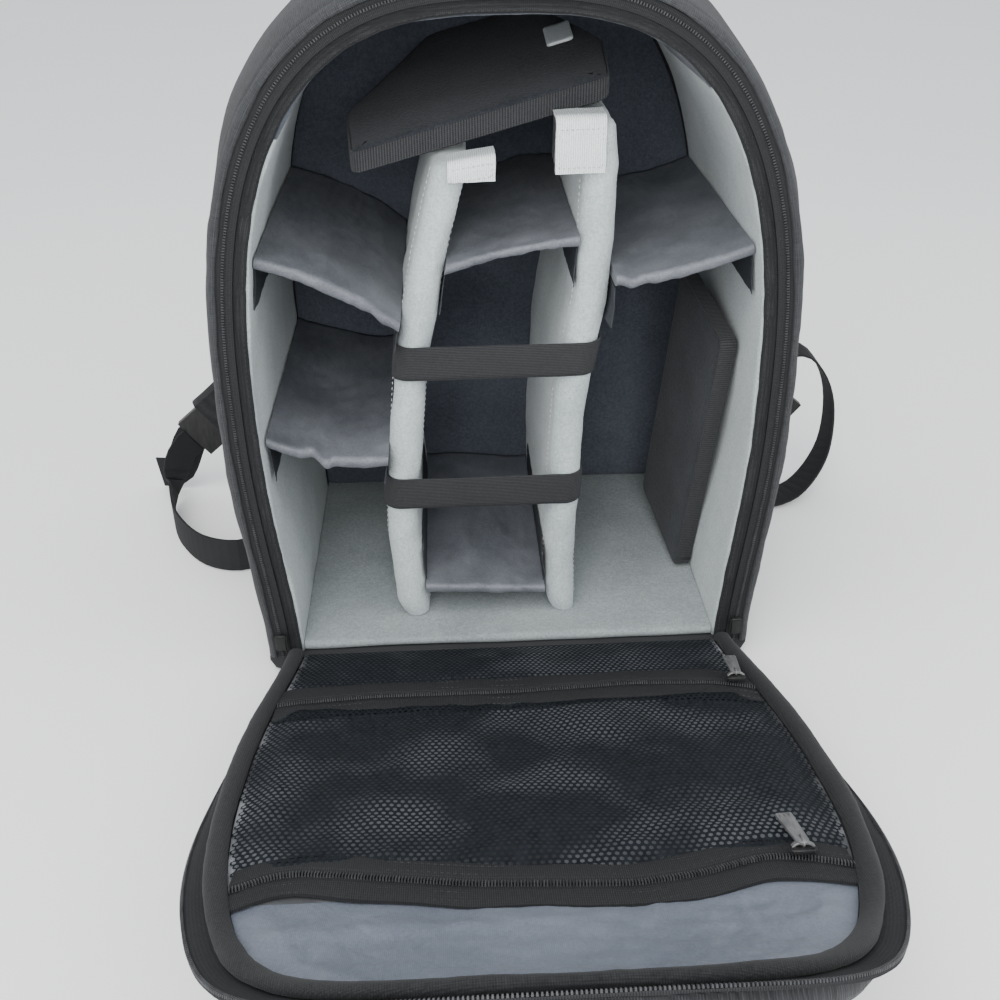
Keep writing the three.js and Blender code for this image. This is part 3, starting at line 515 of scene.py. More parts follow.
def coated(name, slot, dark, light, crease=0.6, lo=0.32, hi=0.6, size=26.0, painted_shade_below=None, **kw):
    """Coated nylon: tight weave under a soft sheen, with fine crinkles.

    Below the given height of its UV in metres it carries painted shade, dark with paler patches of painted
    light, where it shows behind the net.
    """
    m = Mat(name, slot, **kw)
    vec = m.coords("Object")
    warp = m.noise(vec, size, 5.0, 0.62)
    crinkle = m.noise(m.coords("Object", scale=(1.6, 0.7, 1.2), turn=(0.3, 0.2, 0.6)), size * 3.4, 4.0, 0.6)
    weave = m.math("MULTIPLY", m.wave(m.coords("UV"), 0.75, "X"), m.wave(m.coords("UV"), 0.75, "Y"))
    grain = m.noise(vec, 900.0, 2.0)
    fac = m.blend(warp, grain, 0.6)
    col = m.ramp(fac, [(0.34, dark), (0.66, light)])
    if painted_shade_below:
        place = m.node("SeparateXYZ", {0: m.coords("UV")}).outputs[1]
        # Painted shade under the net, with paler noise patches of painted light where the nylon shows
        # through.
        painted_light_patches = m.ramp(m.noise(vec, 17.0, 2.0), [(0.46, grey(0.060, COOL)), (0.62, grey(0.26, COOL))])
        col = m.mix(m.math("GREATER_THAN", place, painted_shade_below), painted_light_patches, col)
    m.color(col)
    m.rough(crinkle, lo, hi)
    m.bump([(warp, crease, 3.0), (crinkle, crease * 0.7, 0.9), (weave, 0.25, 0.2)])
    return m


def ribbed(name, slot, dark, light, pitch, axis="X", cross=0.0, bump=0.7, **kw):
    """Elastic, webbing or edge tape: ribs along one direction, picks across them."""
    m = Mat(name, slot, **kw)
    vec = m.coords("UV")
    rib = m.wave(vec, pitch, axis)
    pick = m.wave(vec, cross or pitch * 1.6, "Y" if axis == "X" else "X", distort=0.6)
    both = m.blend(rib, pick, 0.75)
    lint = m.noise(m.coords("Object"), 700.0, 3.0)
    broad = m.noise(m.coords("Object"), 30.0, 3.0)
    fac = m.blend(both, lint, 0.6)
    col = m.ramp(fac, [(0.25, dark), (0.8, light)])
    m.color(m.mix(m.math("MULTIPLY", broad, 0.35), col, light))
    m.bump([(both, bump, pitch * 0.3), (lint, 0.3, 0.15)])
    return m


def plain(name, slot, dark, light, lo, hi, metallic=0.0, grain=0.3, scale=500.0, **kw):
    """Moulded plastic or cast metal with fine grain and handling marks."""
    m = Mat(name, slot, metallic=metallic, **kw)
    vec = m.coords("Object")
    fine, marks = m.noise(vec, scale, 4.0), m.noise(m.coords("Object", scale=(4, 1, 1)), 120.0, 5.0)
    m.color(m.ramp(marks, [(0.3, dark), (0.7, light)]))
    m.rough(marks, lo, hi)
    m.bump([(fine, grain, 0.12)])
    return m


SHELL = woven("shell heather", "shell_cloth", grey(0.030, COOL), grey(0.078, COOL), 1.0, ripstop=2.3,
              rough=0.9, specular=0.15, sheen=0.05)
TRIM = woven("trim cloth", "dark_trim", grey(0.016, COOL), grey(0.038, COOL), 0.9, coords="Object",
             bump=0.25, rough=0.9, specular=0.15, sheen=0.06)
TAPE = ribbed("zip tape", "dark_trim", grey(0.010, COOL), grey(0.030, COOL), 0.9, "X", rough=0.85, bump=0.4,
              specular=0.15)
COIL = plain("zip coil", "dark_trim", grey(0.022, COOL), grey(0.052, COOL), 0.4, 0.55, specular=0.3)
THREAD = plain("dark thread", "dark_trim", grey(0.022), grey(0.045), 0.6, 0.8, specular=0.2)
PALE = felted("pale loop lining", "pale_lining", (0.330, 0.385, 0.392), (0.560, 0.610, 0.615), rough=0.95,
              sheen=0.3)
# Darker copy of the pale loop lining for the floor pad: painted shade, as the floor is the same lining in
# shadow.
PALE_FLOOR_PAINTED_SHADE = felted("pale loop floor painted shade", "pale_lining", (0.175, 0.205, 0.208), (0.320, 0.350, 0.350),
                    rough=0.95, sheen=0.2)
PALE_THREAD = plain("pale thread", "pale_lining", grey(0.42), grey(0.6), 0.6, 0.8)
DARK = felted("dark loop lining", "dark_lining", (0.045, 0.052, 0.068), (0.100, 0.112, 0.138), rough=0.95,
              sheen=0.15)
BLACK_FELT = felted("black loop felt", "dark_lining", (0.014, 0.016, 0.020), (0.050, 0.054, 0.063), fuzz=0.8,
                    rough=0.95, specular=0.15, sheen=0.1)
SLATE = coated("slate nylon", "slate_nylon", (0.070, 0.076, 0.090), (0.165, 0.174, 0.192), specular=0.45,
               sheen=0.05)
# Under the nets, below a UV height of 0.268 m, this nylon carries painted shade with patches of painted
# light.
NYLON = coated("grey nylon", "grey_nylon", (0.088, 0.101, 0.128), (0.150, 0.168, 0.205), crease=0.8,
               size=16.0, lo=0.36, hi=0.60, specular=0.5, sheen=0.05, painted_shade_below=0.268)
HOOK = hooks("white hook tape", "hook_tape", (0.50, 0.55, 0.56), (0.90, 0.94, 0.94), rough=0.85)
HOOK_DARK = hooks("dark hook tape", "dark_trim", (0.012, 0.014, 0.017), (0.070, 0.075, 0.085), rough=0.85,
                  specular=0.2)
ELASTIC = ribbed("black elastic", "dark_trim", grey(0.012, COOL), grey(0.046, COOL), 1.0, "Y", cross=0.7,
                 rough=0.9, specular=0.2, sheen=0.05)
WEB = ribbed("webbing", "dark_trim", grey(0.012, COOL), grey(0.036, COOL), 1.1, "Y", cross=2.2, rough=0.85,
             specular=0.2)
RIB_EDGE = ribbed("ribbed edge tape", "dark_lining", grey(0.010, COOL), grey(0.060, COOL), 1.5, "X",
                  cross=1.1, rough=0.9, specular=0.15, sheen=0.1)
NET = plain("black net", "black_mesh", (0.006, 0.0075, 0.0098), (0.014, 0.017, 0.021), 0.75, 0.9,
            specular=0.1)
ZINC = plain("zinc pull", "zinc_pull", grey(0.11), grey(0.20), 0.4, 0.6, metallic=0.5)
PLASTIC = plain("black plastic", "black_plastic", grey(0.008), grey(0.020), 0.4, 0.6, specular=0.3)


# Shell.
def body_band(name, profile, material, start=0, stop=None, sharp=35.0):
    p, n = BODY_P[start:stop], BODY_N[start:stop]
    rings = [[on_body(*(q + m * out), d) for out, d in profile] for q, m in zip(p, n)]
    return sweep(name, rings, material, sharp=sharp)


BULGES = [(0, 0), (0.1, 0.45), (0.3, 0.9), (0.52, 1), (0.75, 0.8), (1, 0.1)]
run_depth = GUSSET_BACK - FRONT_Y - RIM_T - GAP
outer = [(RIM_OUT + BULGE * b, RIM_T + GAP + run_depth * a) for a, b in BULGES]
depths = np.linspace(outer[0][1], outer[-1][1], 26)
outs = np.interp(depths, [d for _, d in outer], [o for o, _ in outer])
outs[1:-1] = (outs[:-2] + outs[1:-1] * 2 + outs[2:]) / 4
profile = [(o, d) for o, d in zip(outs, depths)]
profile += [(4, depths[-1]), (0.2, depths[-1]), (0.2, depths[-1] * 0.5), (0.2, depths[0]), (4, depths[0])]
gusset = body_band("gusset_cloth", profile, SHELL)


def edge_hold(p):
    """How freely the gusset's cloth may move: not at its front, back or foot."""
    front_fade = min(1.0, max(0.0, (p.y - FRONT_Y - 4) / 20, 0), max(0.0, (GUSSET_BACK - p.y) / 20))
    return front_fade * min(1.0, max(0.0, (p.z - 14) / 25))


def outside(p):
    """The gusset's outer face alone is ruffled."""
    wide = abs(p.x) > half_width(BODY_P, BODY_N, 4, min(p.z - HINGE_Z, OPEN_RISE + 2))
    return edge_hold(p) if wide or p.z > HINGE_Z + OPEN_RISE + 3 else 0.0


ruffle(gusset, 3.2, 90, 1, (1, 0.5, 1), outside)
ruffle(gusset, 1.1, 28, 2, (1, 0.6, 1), outside)
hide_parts("gusset_wall")

base_half = FOOT_HALF + RIM_OUT
back_loop = [(base_half - 9, 0), (base_half - 2.5, 2.5), (base_half, 9)]
q = BODY_P + BODY_N * RIM_OUT
back_loop += [(x, HINGE_Z + s) for x, s in q[::3]]
back_loop += [(-base_half, 9), (-base_half + 2.5, 2.5), (-base_half + 9, 0)]


def place_y(x, z, lift):
    return np.stack([x, BACK_Y - BACK_T + lift, z], -1)


back = slab("back_panel_pad", back_loop, [(3, 0.1), (0.4, 1.5), (0.1, 4), (0.1, 6), (1.2, 8.8), (4, 9.9)],
            place_y, SHELL, rings_in=14, count=180)
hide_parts("back_panel")

rim_profile = [(-RIM_IN, 1.4), (-RIM_IN + 0.4, 0.5), (-RIM_IN + 1.6, 0.05), (-9, 0.1), (-8, 0.5), (-7, 0.15),
               (-6, 0.5), (-5.2, 0.8), (4.8, 0.8), (RIM_OUT - 2, 0.8), (RIM_OUT - 1, 1.6),
               (RIM_OUT - 1, 2.6), (4, 2.9), (-8, 2.9), (-RIM_IN, 2.6)]
rim = body_band("rim_binding", rim_profile, TRIM)
ruffle(rim, 0.5, 9, 3)
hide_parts("rim_flange")
# The shell cloth comes round the rim's edge and ends in a soft fold beside the zip.
fold_profile = [(3.9, -0.6), (4.3, -2.4), (5.4, -3.0), (6.9, -2.5), (8.2, -1.0), (9.1, 1.0), (9.6, 3.2),
                (8.6, 3.2), (7.6, 0.6), (5.6, -0.1), (4.3, -0.2)]
piping = body_band("rim_shell_fold", fold_profile, SHELL)
ruffle(piping, 0.9, 24, 4)
ruffle(piping, 0.4, 8, 9)
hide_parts("rim_piping")
tape_profile = [(-4.5, -0.35), (4.2, -0.35), (4.2, -1.0), (1.2, -1.1), (-4.4, -1.1)]
tape = body_band("main_zip_tape_cloth", tape_profile, TAPE)
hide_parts("main_zip_tape")


def body_line(out, d, start=0, stop=None):
    q = BODY_P[start:stop] + BODY_N[start:stop] * out
    return on_body(q[:, 0], q[:, 1], d)


front = (0, -1, 0)
stitches("rim_stitches_inner", body_line(-9.6, 0.0), front, THREAD, 3.0, (2.0, 0.5, 0.2))
stitches("main_zip_stitches", body_line(-2.6, -1.1), front, THREAD, 2.6, (1.8, 0.45, 0.2))
teeth("main_zip_coil", body_line(0.6, -1.0), front, COIL, 1.5, (0.85, 1.7, 1.2))

# Inside linings.
pad_profile = [(PAD_IN + 0.9, 3.6), (PAD_IN + 0.2, 5.0), (PAD_IN, 8)] \
    + [(PAD_IN + 0.15, d) for d in np.linspace(18, 196, 16)] \
    + [(PAD_IN + 1, 203), (-0.5, 203.5), (-0.5, 100), (-0.5, 3.6), (PAD_IN / 2, 3.4)]
END = len(BODY_P) - 1
r_end, l_end = int(0.375 * END), int(round(0.655 * END))
for name, a, b, mat, node in (("side_pad_felt_right", 0, r_end + 1, PALE, "side_pad_right"),
                              ("side_pad_felt_left", l_end, END + 1, PALE, "side_pad_left"),
                              ("crown_lining_felt", r_end, l_end + 1, DARK, "top_lining")):
    pad = body_band(name, pad_profile, mat, a, b)
    ruffle(pad, 1.6, 60, 5, (1, 0.7, 1), lambda p: 1.0 if p.z > 30 else 0.2)
    ruffle(pad, 0.5, 14, 6)
    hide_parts(node)


def plate_xy(x0, x1, y0, y1, z0, z1, nx, ny):
    """Rings across X of a flat pad with a rolled front edge."""
    rings = []
    for x in np.linspace(x0, x1, nx):
        h = (z1 - z0) / 2
        nose = [(y0 + h - h * math.sin(a), z0 + h + h * math.cos(a)) for a in np.linspace(0, np.pi, 9)]
        top = [(y, z1) for y in np.linspace(y1, y0 + h + 1, ny)]
        rings.append([(x, y, z) for y, z in top + nose + [(y1 / 2, z0), (y1, z0)]])
    return rings


floor_half = FOOT_HALF + PAD_IN - GAP
floor_rings = plate_xy(-floor_half, floor_half, FRONT_Y + 3.4, GUSSET_BACK - 0.2, BASE_T + GAP,
                       FLOOR_TOP - 0.1, 90, 60)
# The floor pad takes the darker copy of the pale lining, which is painted shade.
floor = sweep("floor_pad_felt", floor_rings, PALE_FLOOR_PAINTED_SHADE)
ruffle(floor, 0.9, 45, 7)
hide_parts("floor_pad")
q = BODY_P + BODY_N * (PAD_IN - GAP)
lining_loop = [(x, HINGE_Z + s) for x, s in q[::3] if HINGE_Z + s > FLOOR_TOP + 3]
w = float(pad_face(FLOOR_TOP + 1)) - GAP
lining_loop = [(w, FLOOR_TOP + 0.5)] + lining_loop + [(-w, FLOOR_TOP + 0.5)]


def place_lining(x, z, lift):
    return np.stack([x, GUSSET_BACK - lift, z], -1)


lining = slab("back_lining_felt", lining_loop, [(1, 0.2), (0.2, 2), (0.6, 4.6), (3, 5.7)], place_lining,
              DARK, 12, 160)
ruffle(lining, 0.8, 50, 8)
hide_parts("back_lining")


# Tall dividers.
def divider(name, div, node, seed):
    top = divider_top(div)
    half = DIV_T / 2
    levels = np.r_[np.linspace(FLOOR_TOP + GAP + 0.2, top - 4, 90), top - 2.2, top - 1.0, top - 0.3]
    back_y = LINING_FRONT - GAP - 0.2
    nose_y = DIV_FRONT + half
    rings = []
    for z in levels:
        pinch = 1 - max(0, (z - (top - 4)) / 4) ** 2 * 0.45
        foot = 1 - 0.25 * max(0, 1 - (z - FLOOR_TOP) / 14) ** 2
        h = half * pinch * foot
        x = float(divider_x(div, z))
        arc = [(x - h * math.cos(a), nose_y - h * math.sin(a)) for a in np.linspace(0, np.pi, 15)]
        right = [(x + h, y) for y in np.linspace(nose_y + 5, back_y, 20)]
        left = [(x - h, y) for y in np.linspace(back_y, nose_y + 5, 20)]
        rings.append([(a, b, z) for a, b in arc + right + left])
    ob = sweep(name, rings, PALE, sharp=60)
    ruffle(ob, 1.5, 34, seed, (1, 1, 0.6))
    ruffle(ob, 0.7, 11, seed + 1, (1, 1, 0.8))
    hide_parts(node)
    for side in (-1, 1):
        zs = np.linspace(FLOOR_TOP + 6, top - 3, 120)
        line = np.c_[divider_x(div, zs) + side * (half + 0.15), np.full(120, nose_y + 5.5), zs]
        stitches(f"{name}_seam_{'right' if side > 0 else 'left'}", line, (side, 0, 0), PALE_THREAD, 3.6,
                 (2.4, 0.6, 0.4))
    return ob


divider("divider_felt_left", LEFT_DIV, "divider_left", 11)
divider("divider_felt_right", RIGHT_DIV, "divider_right", 15)


# Hook-tape tabs folded over the divider tops.
def hook_tab(name, div, width, drop, aside, node, tilt):
    x = float(divider_x(div, divider_top(div))) + aside
    top = divider_top(div)
    face = DIV_FRONT - GAP - 0.4
    path = [(face - 1.0, top - drop), (face - 1.5, top - drop * 0.5), (face - 1.2, top - 1.5),
            (face + 0.2, top + 1.3), (face + 3, top + 2.1), (DIV_FRONT + 10, top + 1.5),
            (DIV_FRONT + 20, top + 1.3)]
    path = smooth_path([(0, y, z) for y, z in path], 34)
    rings = ribbon_rings(path, width, 1.3, lambda t, s: (1, 0, 0.0))
    rings[:, :, 0] += x
    rings[:, :, 2] += (rings[:, :, 0] - x) * tilt * np.clip((rings[:, :, 2] - top + drop) / drop, 0, 1)
    ob = sweep(name, rings, HOOK, sharp=50)
    ruffle(ob, 0.5, 12, 21)
    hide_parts(node)
    line = np.array([(x + a * width / 2, face - 1.9, top - drop + b * drop) for a, b in
                     ((-0.85, 0.86), (0.85, 0.86), (0.85, 0.12), (-0.85, 0.12), (-0.85, 0.86))])
    line[:, 2] += (line[:, 0] - x) * tilt
    dense = np.concatenate([np.linspace(line[i], line[i + 1], 12, endpoint=False) for i in range(4)])
    stitches(f"{name}_stitches", dense, front, PALE_THREAD, 2.6, (1.9, 0.6, 0.5))
    return ob


hook_tab("hook_tab_cloth_left", LEFT_DIV, 25, 9, 10, "hook_tab_left", 0.16)
hook_tab("hook_tab_cloth_right", RIGHT_DIV, 26, 26, -8, "hook_tab_right", 0.02)


# Elastic bands.
def elastic(name, height, node, seed):
    half, end_y = DIV_T / 2, DIV_FRONT + DIV_T / 2 + 27
    nose_y = DIV_FRONT + half

    def path(out, z):
        pts = []
        for div, side in ((LEFT_DIV, -1), (RIGHT_DIV, 1)):
            x = float(divider_x(div, z))
            flank = [(x + side * (half + out), y) for y in np.linspace(end_y, nose_y, 12)]
            arc = [(x + side * (half + out) * math.cos(a), nose_y - (half + out) * math.sin(a))
                   for a in np.linspace(0, np.pi / 2, 10)[1:]]
            run = flank + arc
            pts += run if side < 0 else run[::-1]
        mid = len(pts) // 2
        a, b = np.array(pts[mid - 1]), np.array(pts[mid])
        bridge = [tuple(a * (1 - t) + b * t) for t in np.linspace(0, 1, 26)[1:-1]]
        return np.array([(x, y, z) for x, y in pts[:mid] + bridge + pts[mid:]])
    cols = []
    for t in np.linspace(-1, 1, 9):
        cols.append(path(1.5 - 0.12 * t * t, height + t * 10))
    for t in np.linspace(1, -1, 9):
        cols.append(path(0.45, height + t * 9.9))
    rings = np.stack(cols, 1)
    ob = sweep(name, rings, ELASTIC, sharp=50)
    ruffle(ob, 0.35, 16, seed)
    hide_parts(node)
    return ob


elastic("elastic_upper", 195, "elastic_band_upper", 23)
elastic("elastic_lower", 111, "elastic_band_lower", 24)


# Shelves.
def wall(div, side):
    return lambda z: divider_x(div, z) + side * (DIV_T / 2 + GAP + 0.2)


def left_pad(z):
    return -pad_face(z) + GAP + 0.3


def right_pad(z):
    return pad_face(z) - GAP - 0.3


SHELVES = [
    ("left_upper", left_pad, wall(LEFT_DIV, -1), (262.0, 247.9, 224.1), FRONT_Y + 14, 31),
    ("left_lower", left_pad, wall(LEFT_DIV, -1), (156.1, 144.0, 142.0), FRONT_Y + 14, 35),
    ("centre_upper", wall(LEFT_DIV, 1), wall(RIGHT_DIV, -1), (251.9, 261.1, 266.0), DIV_FRONT, 39),
    ("centre_floor", wall(LEFT_DIV, 1), wall(RIGHT_DIV, -1), (43.9, 42.1, 40.1), DIV_FRONT, 43),
    ("right_upper", wall(RIGHT_DIV, 1), right_pad, (246.1, 251.9, 263.0), FRONT_Y + 14, 47),
]


# One crease a shelf: its share of the width and its depth.
PINCH = {"left_lower": (0.47, 3.4), "right_upper": (0.12, 1.6), "left_upper": (0.86, 1.2)}


def shelf(tag, wall_a, wall_b, heights, y0, seed):
    """Padded shelf between two walls, its three heights on one parabola, with a rolled front edge."""
    a, m, b = heights
    thick = 6.2
    back = LINING_FRONT - GAP - 0.3
    rings = []
    for t in np.linspace(0, 1, 46):
        z = 2 * (t - .5) * (t - 1) * a + 4 * t * (1 - t) * m + 2 * t * (t - .5) * b
        h = thick / 2
        top = [(y, z) for y in np.linspace(back, y0 + h + 2, 44)]
        nose = [(y0 + h - (h + 0.8) * math.sin(g) ** 0.8, z - h + (h + 0.5 * math.sin(g)) * math.cos(g))
                for g in np.linspace(0, np.pi, 13)]
        under = [(y, z - thick) for y in np.linspace(y0 + h + 3, back, 10)]
        row = []
        for y, zz in top + nose + under:
            drop = zz - z
            x = float(wall_a(a + drop)) * (1 - t) + float(wall_b(b + drop)) * t
            row.append((x, y, zz))
        rings.append(row)
    ob = sweep(f"shelf_cloth_{tag}", rings, SLATE, sharp=60)
    xa, xb = float(wall_a(a)), float(wall_b(b))

    def away(p):
        t = (p.x - xa) / (xb - xa)
        return max(0.0, min(1.0, 6 * t, 6 * (1 - t)))

    def back_of(p):
        return away(p) * min(1.0, 0.25 + max(0.0, p.y - y0) / 40)

    ruffle(ob, 3.4, 42, seed, (1.0, 0.45, 1), back_of)
    ruffle(ob, 1.6, 16, seed + 1, (1.3, 0.35, 1), back_of)
    ruffle(ob, 0.7, 6, seed + 2, (1.2, 0.6, 1), away)
    if tag in PINCH:
        share, depth = PINCH[tag]
        xm = xa + (xb - xa) * share
        for v in ob.data.vertices:
            q = v.co * 1000.0
            deep = max(0.0, q.y - y0)
            near = math.exp(-((q.x - xm - (q.y - y0) * 0.10) / 3.2) ** 2) * math.exp(-deep / 34)
            ridge = math.exp(-((q.x - xm + 7 - (q.y - y0) * 0.06) / 4.5) ** 2) * math.exp(-deep / 50)
            v.co.z += (ridge * 0.9 - near) * depth * 0.001
        ob.data.update()
    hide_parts(f"shelf_{tag}")


# Drop of each shelf's left and right wing, upwards where negative.
WINGS = {"left_upper": (22, 11), "left_lower": (22, 11.9), "centre_upper": (22, 22),
         "centre_floor": (-22, -22), "right_upper": (22, 22)}


def wing(tag, side_name, wall_fn, side, top, drop, y0, seed):
    """Thin hook-tape strip beside a shelf's end, wavy along its free edges."""
    y1 = LINING_FRONT - 27
    start = top - 6 - 1.5 if drop > 0 else top + 1.5
    rings = []
    for y in np.linspace(y0 + 4.2, y1, 60):
        near = max(0.0, 1 - (y - y0) / 26)
        row = []
        for a in np.linspace(0, 1, 9):
            z = start - drop * a
            wave = 0.9 * math.sin(y / 5.3 + a * 3 + seed) * a * near + 0.7 * near * a
            row.append((float(wall_fn(z)) + side * (0.15 + wave * 0.9 + 0.55), y - near * a * 2.2, z))
        back_row = [(x - side * 0.5, y_, z) for x, y_, z in reversed(row)]
        rings.append(row + back_row)
    ob = sweep(f"wing_{tag}_{side_name}", rings, HOOK_DARK, sharp=60)
    ruffle(ob, 0.35, 5, seed)
    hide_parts(f"shelf_{tag}_wing_{side_name}")


for row in SHELVES:
    shelf(*row)
    tag, fn_a, fn_b, (za, _, zb), y0, seed = row
    wing(tag, "left", fn_a, 1, za, WINGS[tag][0], y0, seed)
    wing(tag, "right", fn_b, -1, zb, WINGS[tag][1], y0, seed + 1)

# Loose dividers.
left_top, right_top = divider_top(LEFT_DIV), divider_top(RIGHT_DIV)
top_front = DIV_FRONT + 20 + 4 * GAP
left_corner = float(divider_x(LEFT_DIV, left_top)) - DIV_T / 2
right_corner = float(divider_x(RIGHT_DIV, right_top)) - DIV_T / 2
cross = (right_top - left_top) / (right_corner - left_corner)
span = 49 + right_corner - left_corner + 21
run_back = LINING_FRONT - GAP - top_front
TOP_PLAN = [(left_corner - 49 + span * a, top_front + run_back * b) for a, b in
            ((0.04, 0), (0.98, 0), (1, 0.37), (0.78, 1), (0.33, 1), (0, 0.4))]


def on_top_pad(x, y, lift):
    return np.stack([x, y, left_top + GAP + cross * (x - left_corner) + 0.15 * (y - top_front) + lift], -1)


def round_corners(points, radius):
    out = []
    n = len(points)
    for i in range(n):
        p0, p1, p2 = (np.array(points[(i + k) % n], float) for k in (-1, 0, 1))
        a = p1 + (p0 - p1) / np.linalg.norm(p0 - p1) * radius
        b = p1 + (p2 - p1) / np.linalg.norm(p2 - p1) * radius
        for t in np.linspace(0, 1, 6):
            out.append((1 - t) ** 2 * a + 2 * t * (1 - t) * p1 + t * t * b)
    return np.array(out)


top_loop = round_corners(TOP_PLAN, 7)
pad_edge = [(4, 0.3), (1.2, 1.0), (0.4, 2.6), (0.4, 10.4), (1.2, 12.2), (4, 12.9), (9, 13.0)]
top_pad = slab("loose_pad_felt_top", top_loop, pad_edge, on_top_pad, BLACK_FELT, 12, 150)
ruffle(top_pad, 0.8, 40, 51)
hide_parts("loose_divider_top")


def edge_tape(name, loop, place, lo, hi, material, count=220, out=0.35):
    base = even(loop, count)
    rows = [(0.6, lo), (-out, lo + 0.8), (-out, (lo + hi) / 2), (-out, hi - 0.8), (0.6, hi),
            (1.4, (lo + hi) / 2)]
    rings = np.stack([place(*inward(base, inset).T, np.full(count, lift)) for inset, lift in rows], 1)
    return sweep(name, rings, material, closed_path=True, caps=False, sharp=50)


edge_tape("loose_pad_edge_top", top_loop, on_top_pad, 0.8, 12.2, RIB_EDGE)
tab_x, tab_y = TOP_PLAN[2][0] - 30, top_front + run_back * 0.42
tab_loop = round_corners([(tab_x, tab_y), (tab_x + 15, tab_y), (tab_x + 15, tab_y + 30),
                          (tab_x, tab_y + 30)], 2)
top_tab = slab("loose_pad_tab", tab_loop, [(0.6, 13.4), (0.1, 13.8), (0.1, 14.8), (0.6, 15.3)], on_top_pad,
               HOOK, 6, 60)
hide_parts("loose_divider_top_tab")

# The standing one: its own turned frame is rebuilt from the same angles.
turn = Matrix.Rotation(math.radians(7), 3, "Z") @ Matrix.Rotation(math.radians(2), 3, "Y") \
    @ Matrix.Rotation(math.radians(10), 3, "X")
R = np.array(turn)
box_half = np.array((6.0, 42.5, 90.0))
corners = np.array([(i, j, k) for i in (-1, 1) for j in (-1, 1) for k in (-1, 1)]) * box_half @ R.T
lift_z = FLOOR_TOP + GAP - corners[:, 2].min()
reach = min(float(pad_face(c[2] + lift_z)) - GAP - c[0] for c in corners)
side_at = np.array((reach, FRONT_Y + 0.455 * DEPTH, lift_z))


def on_side_pad(y, z, lift):
    local = np.stack([lift - 6.0, y, z], -1)
    return local @ R.T + side_at


side_loop = round_corners([(-42.3, -89.8), (42.3, -89.8), (42.3, 89.8), (-42.3, 89.8)], 6)
side_edge = [(4, 0.2), (1.0, 0.9), (0.3, 2.4), (0.3, 9.6), (1.0, 11.1), (4, 11.8), (9, 11.9)]
side_pad = slab("loose_pad_felt_side", side_loop, side_edge, on_side_pad, BLACK_FELT, 12, 150)
ruffle(side_pad, 0.6, 40, 53)
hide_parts("loose_divider_right")
edge_tape("loose_pad_edge_side", side_loop, on_side_pad, 0.8, 11.2, RIB_EDGE)


# Flap.
def flap_loop(out):
    pts = FLAP_P + FLAP_N * out
    pts = pts[pts[:, 1] > FLAP_START + 1.5]
    w0 = float(half_width(FLAP_P, FLAP_N, out, FLAP_START))
    right, left = pts[pts[:, 0] >= 0], pts[pts[:, 0] < 0]
    return np.array([(w0, FLAP_START), *right, *left, (-w0, FLAP_START)], float)


PANEL_IN, BINDING_W = 4.5, 9.5
panel_under = -(FLAP_RECESS + FLAP_T)
panel_edge = [(7, panel_under + 0.3), (2.5, panel_under + 1.0), (0.5, panel_under + 3.5), (0.2, -8),
              (0.5, -4.2), (1.8, -2.5), (5, -2.1)]
panel = slab("flap_panel_cloth", flap_loop(-PANEL_IN), panel_edge, on_flap, SHELL, 12, 260)
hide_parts("flap_panel")
lining_lift = -FLAP_RECESS + GAP
flap_in = -(PANEL_IN + BINDING_W + GAP)


def flap_sheet(name, out, s0, s1, lift_fn, material, nx=110, ns=80, thick=0.6):
    """Cloth over the flap between two heights of it, following lift_fn(x, s)."""
    s = np.linspace(s0, s1, ns)
    w = half_width(FLAP_P, FLAP_N, out, s)
    end = (FLAP_P + FLAP_N * out)[len(FLAP_P) // 2, 1]
    w = np.where(s > end - 0.6, 8.0, w)
    t = np.linspace(-1, 1, nx)
    X = w[:, None] * t[None, :]
    S = np.repeat(s[:, None], nx, 1)
    H = lift_fn(X, S)
    verts = on_flap(X, S, H).reshape(-1, 3)
    under = on_flap(X, S, H - thick).reshape(-1, 3)
    n = nx * ns
    faces = []
    for i in range(ns - 1):
        for j in range(nx - 1):
            a = i * nx + j
            faces.append((a, a + 1, a + nx + 1, a + nx))
            faces.append((n + a, n + a + nx, n + a + nx + 1, n + a + 1))
    rim = list(range(nx)) + [i * nx + nx - 1 for i in range(1, ns)] \
        + [(ns - 1) * nx + j for j in range(nx - 2, -1, -1)] + [i * nx for i in range(ns - 2, 0, -1)]
    for a, b in zip(rim, rim[1:] + rim[:1]):
        faces.append((a, n + a, n + b, b))
    uv = np.stack([X, S], -1).reshape(-1, 2)
    ob = make(name, np.concatenate([verts, under]), faces, material, np.concatenate([uv, uv]), 60)
    tidy(ob, False)
    return ob


def field(x, y, size, seed):
    """Smooth noise on arrays of flap places."""
    flat = [noise.noise(Vector((a / size + seed * 3.7, b / size + seed * 1.9, seed))) for a, b in
            zip(np.ravel(x), np.ravel(y))]
    return np.array(flat).reshape(np.shape(x))


flap_end = float((FLAP_P + FLAP_N * flap_in)[len(FLAP_P) // 2, 1])


def edge_fade(x, s, out, reach=14.0, s0=None, s1=None):
    w = half_width(FLAP_P, FLAP_N, out, s)
    k = np.clip((w - np.abs(x)) / reach, 0, 1) * np.clip((flap_end - s) / reach, 0, 1)
    if s0 is not None:
        k = k * np.clip((s - s0) / reach, 0, 1)
    if s1 is not None:
        k = k * np.clip((s1 - s) / reach, 0, 1)
    return k


def nylon_lift(x, s):
    k = edge_fade(x, s, flap_in)
    far = np.clip((s - 266) / 26, 0, 1)
    wrinkles = 2.0 * field(x * 0.6, s * 1.6, 30, 1) + 1.3 * field(x * 0.8, s * 1.3, 11, 2)
    wrinkles = wrinkles + 0.5 * field(x, s, 4.5, 6)
    return lining_lift + 1.0 + k * far * (3.2 + wrinkles) + k * 0.25 * field(x, s, 20, 3)


nylon = flap_sheet("flap_lining_nylon", flap_in, FLAP_START + 0.3, flap_end - 0.4, nylon_lift, NYLON, 150,
                   190)
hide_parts("flap_lining")

mesh_lift = lining_lift + 1.0 + GAP


